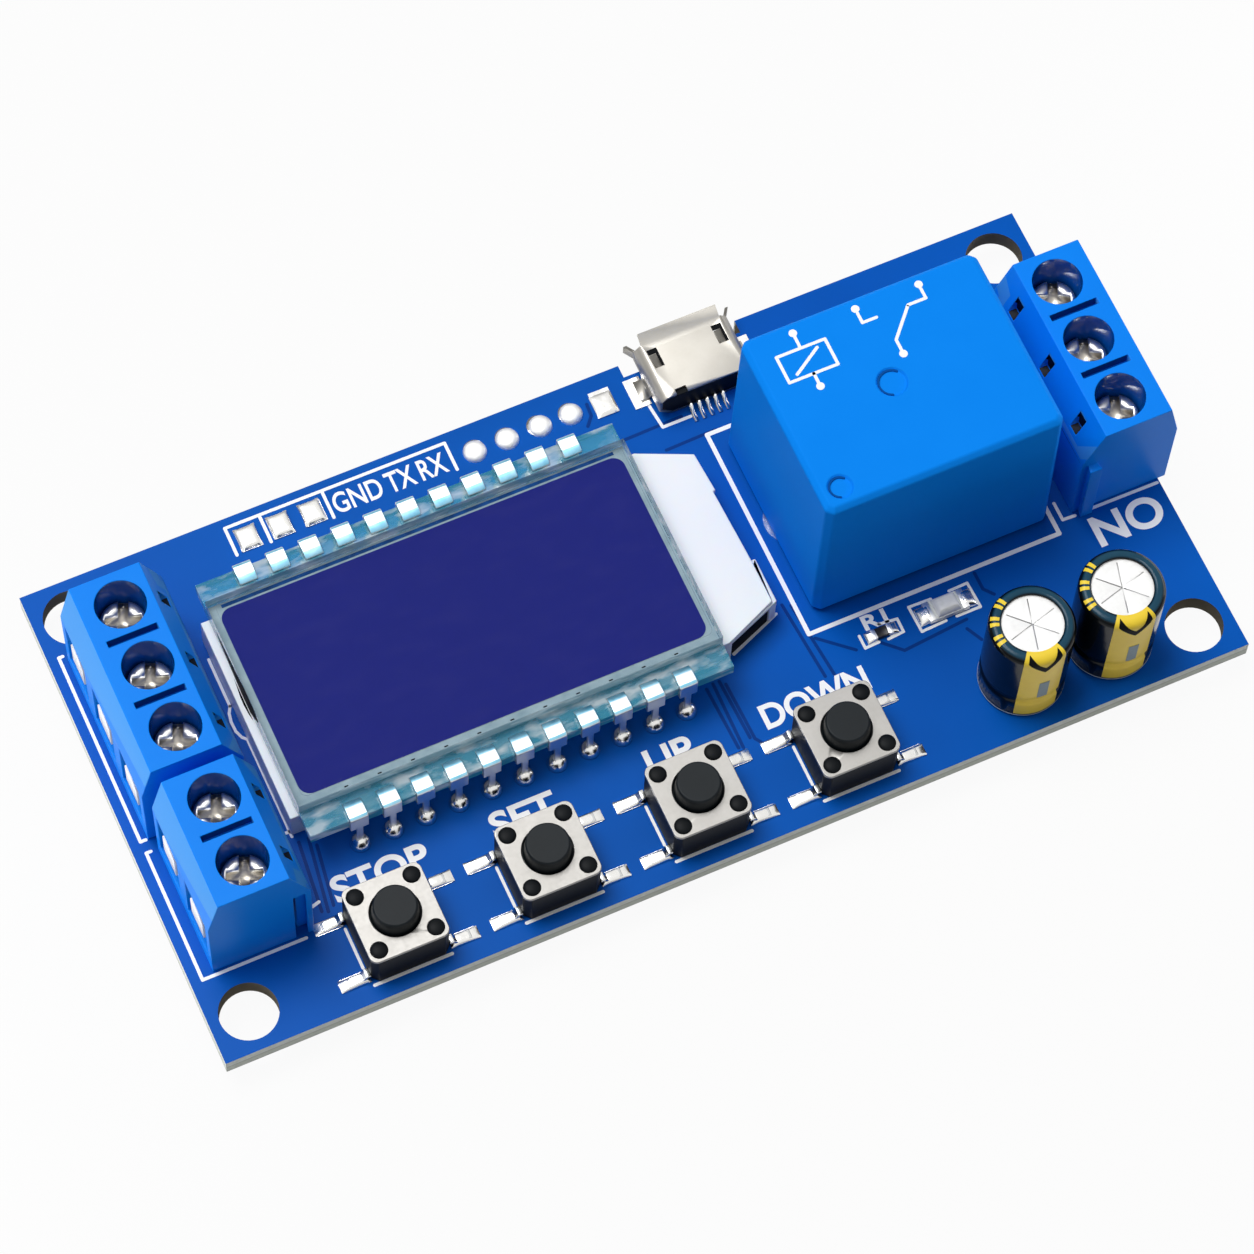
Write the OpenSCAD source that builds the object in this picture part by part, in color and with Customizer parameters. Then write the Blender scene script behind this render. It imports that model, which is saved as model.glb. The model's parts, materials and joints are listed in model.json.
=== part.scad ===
// Timer relay module, in millimetres.
// A circuit board carries a display, four push buttons, a relay, two capacitors,
// a small power socket and three screw terminal blocks.
// The origin is the centre of the four mounting holes, on the underside of the board.
// X runs along the board, Y from the button edge to the socket edge, and Z up.

/* [Board] */
// Thickness of the circuit board
board_t = 1.6; // [1.2:0.1:2.4]
// Diameter of the four mounting holes
hole_d = 4.3; // [3.2:0.1:4.6]
// Distance of each mounting hole from the two edges beside it
hole_inset = 2.95; // [2.8:0.05:3.4]
// Gap from the front edge to the buttons
front_margin = 1.3; // [1.0:0.1:3.0]
// Gap from the buttons to the display glass
label_gap = 4.35; // [3.8:0.05:7.0]
// Distance from the display glass to the row of bare pads
pad_row_gap = 3.9; // [3.6:0.1:6.0]
// Distance of the row of bare pads from the back edge
pad_row_inset = 2.2; // [1.6:0.1:4.0]
// Gap from the left edge to the three-way block
block_margin = 1.4; // [0.6:0.1:3.0]
// How far the two-way block stands in from the three-way block
block_stagger = 0.4; // [0:0.1:1.0]
// Gap from the left blocks to the display glass
block_to_glass = 1.9; // [1.9:0.1:4.0]
// Gap from the backlight's end to the relay
backlight_to_relay = 2.65; // [1.5:0.05:6.0]
// Gap from the relay to the right block
relay_to_block = 1.8; // [1.0:0.1:4.0]
// How far the right block stands out past the board's edge
block_overhang = 0.6; // [0:0.1:1.5]
// Gap from a front mounting hole to the two-way block
hole_to_block = 1.6; // [1.0:0.1:3.0]
// Gap between the two left blocks
block_gap = 0.94; // [0.85:0.01:2.0]
// Thickness of the tin on a bare pad
tin_t = 0.1; // [0.05:0.01:0.2]

/* [Terminal blocks] */
// Distance from one way to the next
way_pitch = 5.08; // [5.0:0.01:6.0]
// Height of a block above the board
block_h = 11.1; // [10.8:0.1:13]
// Distance from a screw's axis to the wire side
block_outer = 3.8; // [3.7:0.1:5.0]
// Distance from a screw's axis to the other side
block_inner = 3.9; // [3.8:0.1:5.0]
// Height at which the two sloped sides begin
slope_z = 7.5; // [7.2:0.1:8.4]
// How far the slope on the wire side leans in
outer_slope = 0.9; // [0.4:0.1:1.4]
// How far the slope on the other side leans in
inner_slope = 1.5; // [0.6:0.1:1.8]
// Diameter of the well above a screw
well_d = 3.7; // [3.6:0.05:4.2]
// Diameter of a screw's head
head_d = 3.3; // [3.0:0.05:3.4]
// Height of a screw's head
head_h = 1.4; // [1.2:0.1:1.8]
// Diameter of a screw's thread
shank_d = 2.5; // [2.0:0.1:2.6]
// Pitch of a screw's thread
thread_pitch = 0.45; // [0.4:0.05:0.5]
// Turns from a closed clamp to an open one
screw_turns = 4; // [3:0.5:4]
// Width of a wire clamp
clamp_w = 3.8; // [3.6:0.1:4.0]
// Wall of a wire clamp
clamp_wall = 0.5; // [0.4:0.05:0.6]
// Thickness of the threaded plate of a clamp
clamp_top_t = 0.6; // [0.5:0.05:0.8]
// Thickness of the terminal strip
strip_t = 0.6; // [0.5:0.05:0.8]
// Length of the terminal tails below the board
terminal_tail = 1.8; // [1.7:0.1:3.0]

/* [Display] */
// Length of both glass plates
glass_l = 32.7; // [30:0.1:40]
// Width of the rear glass plate
rear_glass_w = 21.25; // [20.6:0.05:26]
// Width of the ledge that the clips grip, along each side of the rear glass
ledge_w = 1.975; // [1.8:0.025:3.0]
// Thickness of each glass plate
glass_t = 1.1; // [0.7:0.1:1.4]
// Thickness of each polarising film
film_t = 0.2; // [0.1:0.05:0.3]
// Margin of the films at the ends of the glass
view_end_margin = 0.5; // [0.3:0.1:3.0]
// Margin of the films along the sides of the front glass
view_side_margin = 0.5; // [0.3:0.1:2.0]
// Corner radius of the films
view_r = 0.5; // [0.3:0.1:2.0]
// Thickness of the backlight
backlight_t = 3.0; // [2.5:0.1:4.0]
// Inset of the backlight from the sides of the rear glass
backlight_inset = 2.325; // [2.1:0.025:3.5]
// How far the backlight shows at the left of the glass
backlight_lip = 0.6; // [0:0.1:0.9]
// How far the backlight runs past the glass on the right
backlight_tail = 5.35; // [4.9:0.05:8.0]
// Number of clip pins along each edge
pin_count = 11; // [7:1:11]
// Distance from one clip pin to the next
pin_pitch = 2.54; // [2.5:0.01:2.7]
// Width of a clip
clip_w = 1.4; // [0.8:0.1:1.6]
// Thickness of the clip's sheet metal
clip_t = 0.25; // [0.2:0.05:0.3]
// Reach of a clip over the glass
clip_reach = 1.35; // [0.8:0.05:1.5]

/* [Buttons] */
// Width of a button's square body
button_w = 6.0; // [5.8:0.1:6.4]
// Distance from one button to the next
button_pitch = 11.6; // [11.2:0.1:12.4]
// Distance from the left end of the glass to the first button
button_first = 3.3; // [3.3:0.1:5.0]
// Height of a button's plastic base
button_base_h = 3.4; // [3.2:0.1:3.8]
// Thickness of a button's metal cover
cover_t = 0.3; // [0.2:0.05:0.4]
// Diameter of a plunger
plunger_d = 3.4; // [3.0:0.1:3.5]
// Height of a plunger's top above the board
plunger_h = 5.0; // [4.5:0.1:9.0]
// Travel of a plunger
plunger_travel = 0.25; // [0.2:0.05:0.35]
// Distance from one rivet to the next along a side
rivet_pitch = 4.3; // [4.2:0.05:4.5]
// Distance from one leg to the next along a side
leg_pitch = 4.6; // [4.2:0.1:4.8]

/* [Relay] */
// Length of the relay's case at its foot
relay_l = 19.0; // [18.6:0.1:22]
// Width of the relay's case at its foot
relay_w = 15.4; // [15:0.1:18]
// Height of the relay above the board
relay_h = 15.8; // [15.6:0.1:18]
// Lean of each side wall, from foot to top
relay_draft = 0.2; // [0:0.05:0.25]
// Wall of the relay's case
relay_wall = 0.9; // [0.7:0.1:1.0]
// Bevel round the top of the case
relay_bevel = 0.4; // [0.2:0.1:0.6]
// How far the relay stands clear of the board
relay_lift = 0.4; // [0.2:0.1:0.5]
// Swing of the armature, in degrees
armature_swing = 2; // [1:0.5:2]

/* [Capacitors] */
// Diameter of a capacitor, with its sleeve
capacitor_d = 6.3; // [5:0.1:7]
// Height of a capacitor above the board
capacitor_h = 9.2; // [7:0.1:12]
// Distance between the two capacitors
capacitor_pitch = 7.1; // [7.05:0.05:8]
// Distance of the outer capacitor from the right edge
capacitor_inset = 9.25; // [9.2:0.05:11]
// Thickness of the sleeve
sleeve_t = 0.15; // [0.1:0.05:0.25]
// Distance between the two leads of a capacitor
lead_pitch = 2.5; // [2.0:0.1:3.0]

/* [Socket] */
// Width of the socket's shell
socket_w = 7.5; // [7.2:0.1:8.0]
// Height of the socket's shell
socket_h = 2.75; // [2.6:0.05:3.2]
// Length of the socket's shell
socket_l = 4.7; // [4.5:0.1:6.0]
// Thickness of the shell's sheet metal
socket_t = 0.25; // [0.2:0.05:0.3]
// Distance of the socket's centre from the right end of the glass
socket_from_glass = 8.1; // [7.6:0.1:10]
// Depth of the notch in the board's back edge
notch_d = 1.05; // [0.8:0.05:1.4]

/* [Small parts] */
// Length of the indicator light's body
light_l = 3.2; // [2.8:0.1:3.4]
// Width of the indicator light's body
light_w = 1.6; // [1.4:0.1:2.0]
// Distance from the relay to the middle of the light's row
light_row_gap = 3.33; // [2.6:0.05:3.6]
// Length of a chip resistor
chip_l = 1.6; // [1.4:0.1:1.7]
// Width of a chip resistor
chip_w = 0.8; // [0.7:0.05:0.9]
// Height of a chip resistor
chip_h = 0.45; // [0.4:0.05:0.6]
// Height of the tallest chip on the underside
tall_chip_h = 1.6; // [1.2:0.1:1.65]

/* [Hidden] */
$fn = 48;
// Overlap that carries a cut past a face
cut = 0.05;
// Gap between flat faces that slide
slide_gap = 0.1;
// Radial gap of a thread in its nut
thread_gap = 0.05;
// Radial gap between a screw and the plastic round it
screw_gap = 0.2;
// Gap between pieces that are pushed or folded together
snug_gap = 0.02;

// Board
board_l = block_margin + 2 * block_outer + 2 * block_inner + block_stagger + block_to_glass
    + glass_l + backlight_tail + backlight_to_relay + relay_l + relay_to_block - block_overhang;
board_w = front_margin + button_w + label_gap + rear_glass_w + pad_row_gap + pad_row_inset;
left_x = -board_l / 2;
right_x = board_l / 2;
front_y = -board_w / 2;
back_y = board_w / 2;
hole_x = right_x - hole_inset;
hole_y = back_y - hole_inset;

// Terminal blocks
trigger_ways = 3;
power_ways = 2;
output_ways = 3;
trigger_x = left_x + block_margin + block_outer;
power_x = trigger_x + block_stagger;
output_x = right_x + block_overhang - block_outer;
power_y = front_y + hole_inset + hole_d / 2 + hole_to_block + power_ways * way_pitch / 2;
trigger_y = power_y + (power_ways + trigger_ways) * way_pitch / 2 + block_gap;
well_depth = 4.1;
well_floor = block_h - well_depth;
shoulder_t = 0.7;
chamber_top = well_floor - shoulder_t;
chamber_w = clamp_w + 2 * slide_gap;
wire_wall = 0.6;
chamber_out = block_outer - wire_wall;
strip_width = 2.2;
leg_gap = 0.2;
leg_w = 1.0;
clamp_out = chamber_out - slide_gap;
clamp_nut_wall = 0.75;
clamp_in = shank_d / 2 + clamp_nut_wall;
clamp_l = clamp_out + clamp_in;
leg_x0 = clamp_in + leg_gap;
chamber_in = leg_x0 + strip_t + slide_gap;
terminal_pin_x = leg_x0 + strip_t / 2;
clamp_travel = screw_turns * thread_pitch;
clamp_top = chamber_top - 2 * slide_gap;
clamp_gap = strip_t + clamp_travel + 2 * slide_gap;
clamp_h = clamp_top_t + clamp_gap + clamp_wall;
clamp_floor = clamp_top - clamp_h;
strip_z = clamp_floor + clamp_wall + slide_gap;
strip_reach = 0.4;
guard_t = 0.25;
guard_h = 2.4;
screw_tip = strip_z + strip_t + slide_gap;
entry_lap = 0.05;
entry_w = clamp_w - 2 * entry_lap;
entry_sill = 1.6;
entry_lintel = 0.4;
entry_top = slope_z - entry_lintel;
dovetail_inset = 0.9;
dovetail_x = block_inner - dovetail_inset;
dovetail_w = 1.0;
dovetail_neck = 0.7;
dovetail_d = 0.6;
dovetail_h = 7.2;
slot_w = 0.5;
slot_l = 3.8;
slot_d = 1.0;
probe_w = 0.9;
probe_h = 1.7;
probe_depth = 1.1;
probe_drop = 1.0;

// Display, with heights above the board's top
lcd_x0 = power_x + block_inner + block_to_glass;
lcd_x1 = lcd_x0 + glass_l;
lcd_x = lcd_x0 + glass_l / 2;
lcd_y = front_y + front_margin + button_w + label_gap + rear_glass_w / 2;
rear_film_z = backlight_t;
rear_glass_z = rear_film_z + film_t;
front_glass_z = rear_glass_z + glass_t;
front_film_z = front_glass_z + glass_t;
front_glass_w = rear_glass_w - 2 * ledge_w;
backlight_w = rear_glass_w - 2 * backlight_inset;
view_l = glass_l - 2 * view_end_margin;
view_w = front_glass_w - 2 * view_side_margin;
lcd_pin_w = 0.5;
clip_rise = 0.15;
lcd_tail = 1.2;
skin_t = 0.35;
tail_slope_x = 4.6;
tail_slope_y = 1.8;
tail_lip = 0.4;
tail_lip_y = -2.8;
tail_step = 0.2;
tail_step_y = 3.2;
tail_pocket_d = 1.2;
tail_pocket_wall = 0.7;

// Buttons
button_y = front_y + front_margin + button_w / 2;
button_corner = 0.5;
rivet_d = 0.9;
rivet_head_d = 1.3;
rivet_head_h = 0.25;
button_floor = 1.6;
pocket_gap = 0.15;
flange_out = 0.25;
flange_d = plunger_d + 2 * flange_out;
pocket_d = flange_d + 2 * pocket_gap;
flange_t = 0.5;
flange_gap = 0.05;
plunger_gap = 0.15;
plunger_taper = 0.2;
dome_margin = 0.15;
dome_d = pocket_d - 2 * dome_margin;
dome_t = 0.12;
dome_gap = 0.05;
boss_d = 1.6;
boss_h = 0.3;
leg_t = 0.2;
switch_leg_w = 0.7;
leg_root_z = 0.7;
leg_reach = 1.7;
switch_pad_l = 1.9;
switch_pad_w = 0.95;
switch_pad_gap = 0.25;

// Relay, with heights above the board's top
relay_x0 = lcd_x1 + backlight_tail + backlight_to_relay;
relay_x = relay_x0 + relay_l / 2;
relay_back = 0.2;
relay_y = lcd_y + relay_back;
output_y = lcd_y;
relay_fit = 0.1;
relay_corner = 0.5;
relay_base_t = 1.8;
relay_floor = relay_lift + relay_base_t;
relay_tail = 1.5;
relay_pin_w = 1.0;
relay_pin_t = 0.4;
relay_foot_d = 1.4;
yoke_t = 0.9;
yoke_w = 10;
yoke_gap = 0.2;
yoke_x0 = -relay_l / 2 + relay_wall + relay_draft + yoke_gap;
coil_flange_d = 10;
coil_flange_t = 1.0;
coil_tube_d = 4.2;
coil_d = 9.4;
coil_x = yoke_x0 + yoke_t + slide_gap + coil_flange_d / 2;
core_d = 3.2;
pole_d = 5.0;
pole_t = 0.4;
armature_t = 0.9;
armature_w = 9;
armature_lap = 0.7;
spring_lap = 0.4;
armature_drop = 3.55;
armature_z = relay_h - armature_drop;
hinge_gap = 0.05;
yoke_top = armature_z - hinge_gap;
yoke_floor = relay_floor + yoke_t;
pole_gap = 0.35;
pole_top = armature_z - pole_gap;
coil_top = pole_top - pole_t;
spring_t = 0.2;
spring_w = 2.6;
contact_inset_x = 3.4;
contact_inset_y = 1.7;
contact_x = relay_l / 2 - contact_inset_x;
contact_d = 1.6;
contact_t = 0.3;
contact_gap = 0.1;
contact_arm_w = 1.6;
contact_arm_t = 0.4;
contact_pin_y = relay_w / 2 - contact_inset_y;
coil_pin_from_yoke = 2.1;
coil_pin_x = yoke_x0 + coil_pin_from_yoke;
coil_pin_d = 0.6;
coil_pin_rise = 1;
common_pin_x = yoke_x0 + yoke_t / 2;
spring_z = armature_z + armature_t;
hinge_x = yoke_x0 + yoke_t;
contact_drop = (contact_x - hinge_x) * sin(armature_swing);
closed_arm_z = spring_z + spring_t + contact_gap + 2 * contact_t;
open_arm_z = spring_z - contact_drop - contact_gap - 2 * contact_t - contact_arm_t;
dimple_depth = 0.2;
gate_dimple_x = -0.7;
gate_dimple_y = 0.2;
gate_dimple_d = 2.2;
vent_dimple_inset = 1.9;
vent_dimple_d = 1.8;

// Capacitors
capacitor_x1 = right_x - capacitor_inset;
capacitor_x0 = capacitor_x1 - capacitor_pitch;
capacitor_y = button_y;
can_d = capacitor_d - 2 * sleeve_t - 2 * snug_gap;
bung_t = 1.2;
can_wall = 0.3;
bung_d = can_d - 2 * can_wall;
sleeve_fold = 0.9;
can_bevel = 0.5;
shoulder_r = 0.55;
crimp_z = 2.6;
crimp_d = 0.15;
crimp_wheel_r = 0.9;
vent_w = 0.1;
vent_l = 4.0;
vent_d = 0.05;
lead_d = 0.5;
lead_tail = 1.2;

// Socket
socket_x = lcd_x1 + socket_from_glass;
socket_inset = 0.45;
socket_y1 = back_y - socket_inset;
socket_y0 = socket_y1 - socket_l;
notch_margin = 1.0;
notch_w = socket_w + 2 * notch_margin;
socket_corner = 0.5;
socket_keystone = 1.0;
lip_out = 0.5;
lip_l = 0.75;
lip_margin = 0.6;
spring_window_w = 0.8;
spring_window_l = 1.6;
spring_window_x = 2.6;
spring_window_inset = 0.55;
spring_finger_w = 0.5;
spring_finger_l = 1.3;
spring_finger_drop = 0.35;
rear_notch_w = 0.9;
rear_notch_l = 0.45;
rear_notch_x = -1.95;
plug_block_l = 1.3;
tongue_w = 3.8;
tongue_t = 0.6;
tongue_inset = 0.5;
tongue_l = socket_l - plug_block_l - tongue_inset;
contact_count = 5;
contact_pitch = 0.65;
contact_w = 0.3;
contact_sheet = 0.15;
contact_reach = 1.4;
socket_tab_l = 1.6;
socket_tab_out = 0.9;
socket_tab_inset = 3.0;

// Small parts
light_from_relay = 8.97;
resistor_from_relay = 3.83;
light_x = relay_x0 + light_from_relay;
resistor_x = relay_x0 + resistor_from_relay;
light_row_y = relay_y - relay_w / 2 - light_row_gap;
light_base_h = 0.5;
light_cap_l = 0.5;
lens_l = 1.9;
lens_h = 0.6;
lens_lean = 0.15;
lens_inset = 0.05;
chip_cap_l = 0.3;
chip_cap_t = 0.02;

// Chips on the underside
driver_w = 10;
driver_h = 1.4;
driver_leg_count = 11;
driver_leg_pitch = 0.8;
driver_leg_w = 0.35;
driver_x = lcd_x;
driver_y = lcd_y;
brain_l = 6.5;
brain_w = 4.4;
brain_h = 1.0;
brain_leg_count = 10;
brain_leg_pitch = 0.65;
brain_leg_w = 0.25;
driver_to_brain = 14;
brain_x = driver_x + driver_to_brain;
brain_y = lcd_y;
supply_l = 6.5;
supply_w = 3.5;
supply_tab_w = 3.0;
supply_leg_pitch = 2.3;
supply_leg_w = 0.7;
supply_to_capacitor = 11;
supply_back = 1;
supply_x = capacitor_x0 - supply_to_capacitor;
supply_y = capacitor_y + supply_back;
isolator_l = 4.4;
isolator_w = 3.6;
isolator_step = 0.1;
isolator_h = tall_chip_h - isolator_step;
isolator_leg_pitch = 2.54;
isolator_leg_w = 0.4;
isolator_leg_reach = 1.2;
isolator_from_end = 1.5;
isolator_back = 4;
isolator_x = lcd_x0 + isolator_from_end;
isolator_y = lcd_y + isolator_back;
diode_l = 4.2;
diode_w = 2.5;
diode_h = 1.1;
diode_leg_w = 1.4;
diode_leg_reach = 0.8;
diode_left = 2;
diode_x = relay_x - diode_left;
diode_y = relay_y;
chip_leg_t = 0.15;
chip_stand = 0.1;
package_lean = 0.12;
package_bevel = 0.05;
passive_count = 6;
passive_pitch = 2.2;
brain_to_row = 6;
driver_to_row = 9;

// Helpers

// Lifts its children to the top face of the board
module on_board() {
    translate([0, 0, board_t]) children();
}

// Hangs its children from the underside, with their heights counted downwards
module under_board() {
    mirror([0, 0, 1]) children();
}

// Extrudes an outline drawn as (x, z) along Y, centred on y
module along_y(length, y = 0) {
    translate([0, y + length / 2, 0]) rotate([90, 0, 0]) linear_extrude(length) children();
}

// Extrudes an outline drawn as (y, z) along X, centred on x
module along_x(length, x = 0) {
    translate([x - length / 2, 0, 0]) rotate([90, 0, 90]) linear_extrude(length) children();
}

// A block centred on X and Y that stands on z
module slab(l, w, h, z = 0) {
    translate([-l / 2, -w / 2, z]) cube([l, w, h]);
}

// A block with leaning walls and a bevel round its top
module drafted_box(l, w, z0, z1, lean, bevel) {
    intersection() {
        along_y(2 * w) leaning_outline(l, z0, z1, lean, bevel);
        along_x(2 * l) leaning_outline(w, z0, z1, lean, bevel);
    }
}

module leaning_outline(l, z0, z1, lean, bevel) {
    half_foot = l / 2;
    half_top = half_foot - lean;
    polygon([
        [-half_foot, z0], [half_foot, z0],
        [half_top, z1 - bevel], [half_top - bevel, z1],
        [-half_top + bevel, z1], [-half_top, z1 - bevel]
    ]);
}

// A flat plate with round corners
module round_plate(l, w, h, r) {
    slab(l - 2 * r, w, h);
    slab(l, w - 2 * r, h);
    for (x = [-1, 1], y = [-1, 1])
        translate([x * (l / 2 - r), y * (w / 2 - r), 0]) cylinder(h = h, r = r);
}

// The places of pieces that repeat

module at_mounting_holes() {
    for (x = [-hole_x, hole_x], y = [-hole_y, hole_y]) translate([x, y, 0]) children();
}

module at_buttons() {
    for (i = [0 : 3]) at_button(i) children();
}

module at_button(i) {
    translate([lcd_x0 + button_first + i * button_pitch, button_y, board_t]) children();
}

// The four corners of a square, such as a button's rivets
module at_corners(pitch_x, pitch_y) {
    for (x = [-1, 1], y = [-1, 1]) translate([x * pitch_x / 2, y * pitch_y / 2, 0]) children();
}

module at_switch_legs() {
    for (side = [0, 180], y = [-1, 1])
        rotate([0, 0, side]) translate([button_w / 2, y * leg_pitch / 2, 0]) children();
}

// Clip pins along the edge of the glass that side names, -1 in front and 1 at the back
module at_lcd_pins(side) {
    for (i = [0 : pin_count - 1])
        translate([lcd_x + (i - (pin_count - 1) / 2) * pin_pitch, lcd_y + side * rear_glass_w / 2, 0])
            mirror([0, side < 0 ? 1 : 0, 0]) children();
}

module at_capacitors() {
    for (x = [capacitor_x0, capacitor_x1]) translate([x, capacitor_y, board_t]) children();
}

module at_capacitor_leads() {
    at_capacitors() for (x = [-1, 1]) translate([x * lead_pitch / 2, 0, 0]) children();
}

function way_y(i, ways) = ((ways - 1) / 2 - i) * way_pitch;

// The frame of a terminal block, with its wire side towards -X
module at_trigger() {
    translate([trigger_x, trigger_y, board_t]) children();
}

module at_power() {
    translate([power_x, power_y, board_t]) children();
}

module at_output() {
    translate([output_x, output_y, board_t]) rotate([0, 0, 180]) children();
}

module at_ways(ways) {
    for (i = [0 : ways - 1]) translate([0, way_y(i, ways), 0]) children();
}

module at_all_ways() {
    at_trigger() at_ways(trigger_ways) children();
    at_power() at_ways(power_ways) children();
    at_output() at_ways(output_ways) children();
}

module at_relay() {
    translate([relay_x, relay_y, board_t]) children();
}

// Where the relay's flat pins go: the common pin, then the two fixed contacts
module at_relay_pins() {
    translate([common_pin_x, 0, 0]) children();
    for (y = [-1, 1]) translate([contact_x, y * contact_pin_y, 0]) children();
}

module at_coil_pins() {
    for (y = [-1, 1]) translate([coil_pin_x, y * contact_pin_y, 0]) children();
}

// Board

terminal_hole_d = 1.5;
relay_hole_d = 1.4;
coil_hole_d = 0.9;
lcd_hole_d = 0.8;
lead_hole_d = 0.8;
lcd_pin_y = clip_t / 2;

module circuit_board() {
    color("royalblue") difference() {
        translate([left_x, front_y, 0]) cube([board_l, board_w, board_t]);
        translate([socket_x - notch_w / 2, back_y - notch_d, -cut])
            cube([notch_w, notch_d + cut, board_t + 2 * cut]);
        translate([0, 0, -cut]) at_mounting_holes() drill(hole_d);
        translate([0, 0, -cut]) for (side = [-1, 1])
            at_lcd_pins(side) translate([0, lcd_pin_y, 0]) drill(lcd_hole_d);
        translate([0, 0, -board_t - cut]) {
            at_all_ways() translate([terminal_pin_x, 0, 0]) drill(terminal_hole_d);
            at_relay() at_relay_pins() drill(relay_hole_d);
            at_relay() at_coil_pins() drill(coil_hole_d);
            at_capacitor_leads() drill(lead_hole_d);
        }
    }
}

module drill(d) {
    cylinder(h = board_t + 2 * cut, d = d);
}

// Bare tinned pads on the top of the board
square_pad_l = 1.6;
square_pad_w = 1.8;
round_pad_d = 1.7;
square_pad_first = 5.6;
round_pad_first = 23.5;
lone_pad_x = 33.8;
socket_pad_l = 1.3;
socket_pad_w = 2.5;
socket_pad_inset = 2.2;
relay_pad_d = 4.1;

module tinned_pads() {
    pad_y = back_y - pad_row_inset;
    color("gainsboro") {
        for (i = [0 : 2])
            translate([lcd_x0 + square_pad_first + i * pin_pitch, pad_y, board_t])
                slab(square_pad_l, square_pad_w, tin_t);
        for (i = [0 : 3])
            translate([lcd_x0 + round_pad_first + i * pin_pitch, pad_y, board_t])
                cylinder(h = tin_t, d = round_pad_d);
        at_relay() translate([common_pin_x, 0, 0]) difference() {
            cylinder(h = tin_t, d = relay_pad_d);
            translate([0, 0, -cut]) cylinder(h = tin_t + 2 * cut, d = relay_hole_d);
        }
        translate([lcd_x0 + lone_pad_x, pad_y, board_t]) slab(square_pad_l, square_pad_w, tin_t);
        at_buttons() at_switch_legs()
            translate([switch_pad_gap + switch_pad_l / 2, 0, 0]) slab(switch_pad_l, switch_pad_w, tin_t);
        translate([socket_x, socket_y1 - socket_pad_inset, board_t]) for (side = [-1, 1])
            translate([side * (socket_w + socket_pad_l) / 2, 0, 0]) slab(socket_pad_l, socket_pad_w, tin_t);
    }
}

// Solder joints under the board: foot and tip diameters and heights
lcd_joint_d = 1.5;
lcd_joint_tip = 0.8;
lcd_joint_h = 0.9;
way_joint_d = 2.6;
way_joint_tip = 1.5;
way_joint_h = 1.2;
relay_joint_d = 2.5;
relay_joint_tip = 1.4;
relay_joint_h = 1.0;
coil_joint_d = 1.8;
coil_joint_tip = 1.0;
coil_joint_h = 1.0;
lead_joint_d = 1.6;
lead_joint_tip = 0.9;
lead_joint_h = 0.9;

// A low dome that stands on z = 0
module dome(d, h) {
    rotate_extrude() polygon(concat([[0, 0]], [for (a = [0 : 15 : 90]) [d / 2 * cos(a), h * sin(a)]]));
}

// Solder joints: a fillet round each pin, hollow where the pin passes
module solder_cone(foot_d, tip_d, h) {
    rotate_extrude() polygon([
        [0, 0], [foot_d / 2, 0], [(foot_d + 2 * tip_d) / 6, h * 0.4], [tip_d / 2, h], [0, h]
    ]);
}

module flat_pin_joint(foot_d, tip_d, h, pin_l, pin_w) {
    difference() {
        solder_cone(foot_d, tip_d, h);
        slab(pin_l, pin_w, h + 2 * cut, -cut);
    }
}

module round_pin_joint(foot_d, tip_d, h, pin_d) {
    difference() {
        solder_cone(foot_d, tip_d, h);
        translate([0, 0, -cut]) cylinder(h = h + 2 * cut, d = pin_d);
    }
}

// The full drop of solder round a display pin on the top of the board
module lcd_pin_drop() {
    drop_d = 1.55;
    drop_h = 0.95;
    difference() {
        dome(drop_d, drop_h);
        slab(lcd_pin_w, clip_t, drop_h + 2 * cut, -cut);
    }
}

module solder_joints() {
    color("silver") {
        for (side = [-1, 1]) at_lcd_pins(side) translate([0, lcd_pin_y, 0]) {
            on_board() lcd_pin_drop();
            under_board() flat_pin_joint(lcd_joint_d, lcd_joint_tip, lcd_joint_h, lcd_pin_w, clip_t);
        }
        translate([0, 0, -board_t]) {
            at_all_ways() translate([terminal_pin_x, 0, 0])
                under_board() flat_pin_joint(way_joint_d, way_joint_tip, way_joint_h, strip_t, leg_w);
            at_relay() at_relay_pins() under_board()
                flat_pin_joint(relay_joint_d, relay_joint_tip, relay_joint_h, relay_pin_t, relay_pin_w);
            at_relay() at_coil_pins()
                under_board() round_pin_joint(coil_joint_d, coil_joint_tip, coil_joint_h, coil_pin_d);
            at_capacitor_leads()
                under_board() round_pin_joint(lead_joint_d, lead_joint_tip, lead_joint_h, lead_d);
        }
    }
}

// Display

// The backlight seen from above. Its tail ends in two slopes, with a lip that stands out at the front corner.
module backlight_outline(lip) {
    x0 = lcd_x0 - backlight_lip;
    x1 = lcd_x1 + backlight_tail;
    end_x = x1 - tail_lip;
    half_w = backlight_w / 2;
    polygon([
        [x0, -half_w], [x1 - tail_slope_x, -half_w], [end_x + lip, -half_w + tail_slope_y],
        [end_x + lip, tail_lip_y], [end_x, tail_lip_y], [end_x - tail_step, tail_step_y],
        [end_x, tail_step_y], [end_x - tail_step, half_w - tail_slope_y],
        [x1 - tail_slope_x, half_w], [x0, half_w]
    ]);
}

// The pocket that is open at the front slope of the tail, under the top skin
module tail_pocket() {
    slope_l = norm([tail_slope_x, tail_slope_y]);
    translate([lcd_x1 + backlight_tail - tail_slope_x, -backlight_w / 2, -cut])
        rotate([0, 0, atan2(tail_slope_y, tail_slope_x)]) translate([tail_pocket_wall / 2, -tail_pocket_d, 0])
            cube([slope_l - 1.5 * tail_pocket_wall, 2 * tail_pocket_d, backlight_t - 2 * skin_t + cut]);
}

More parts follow.
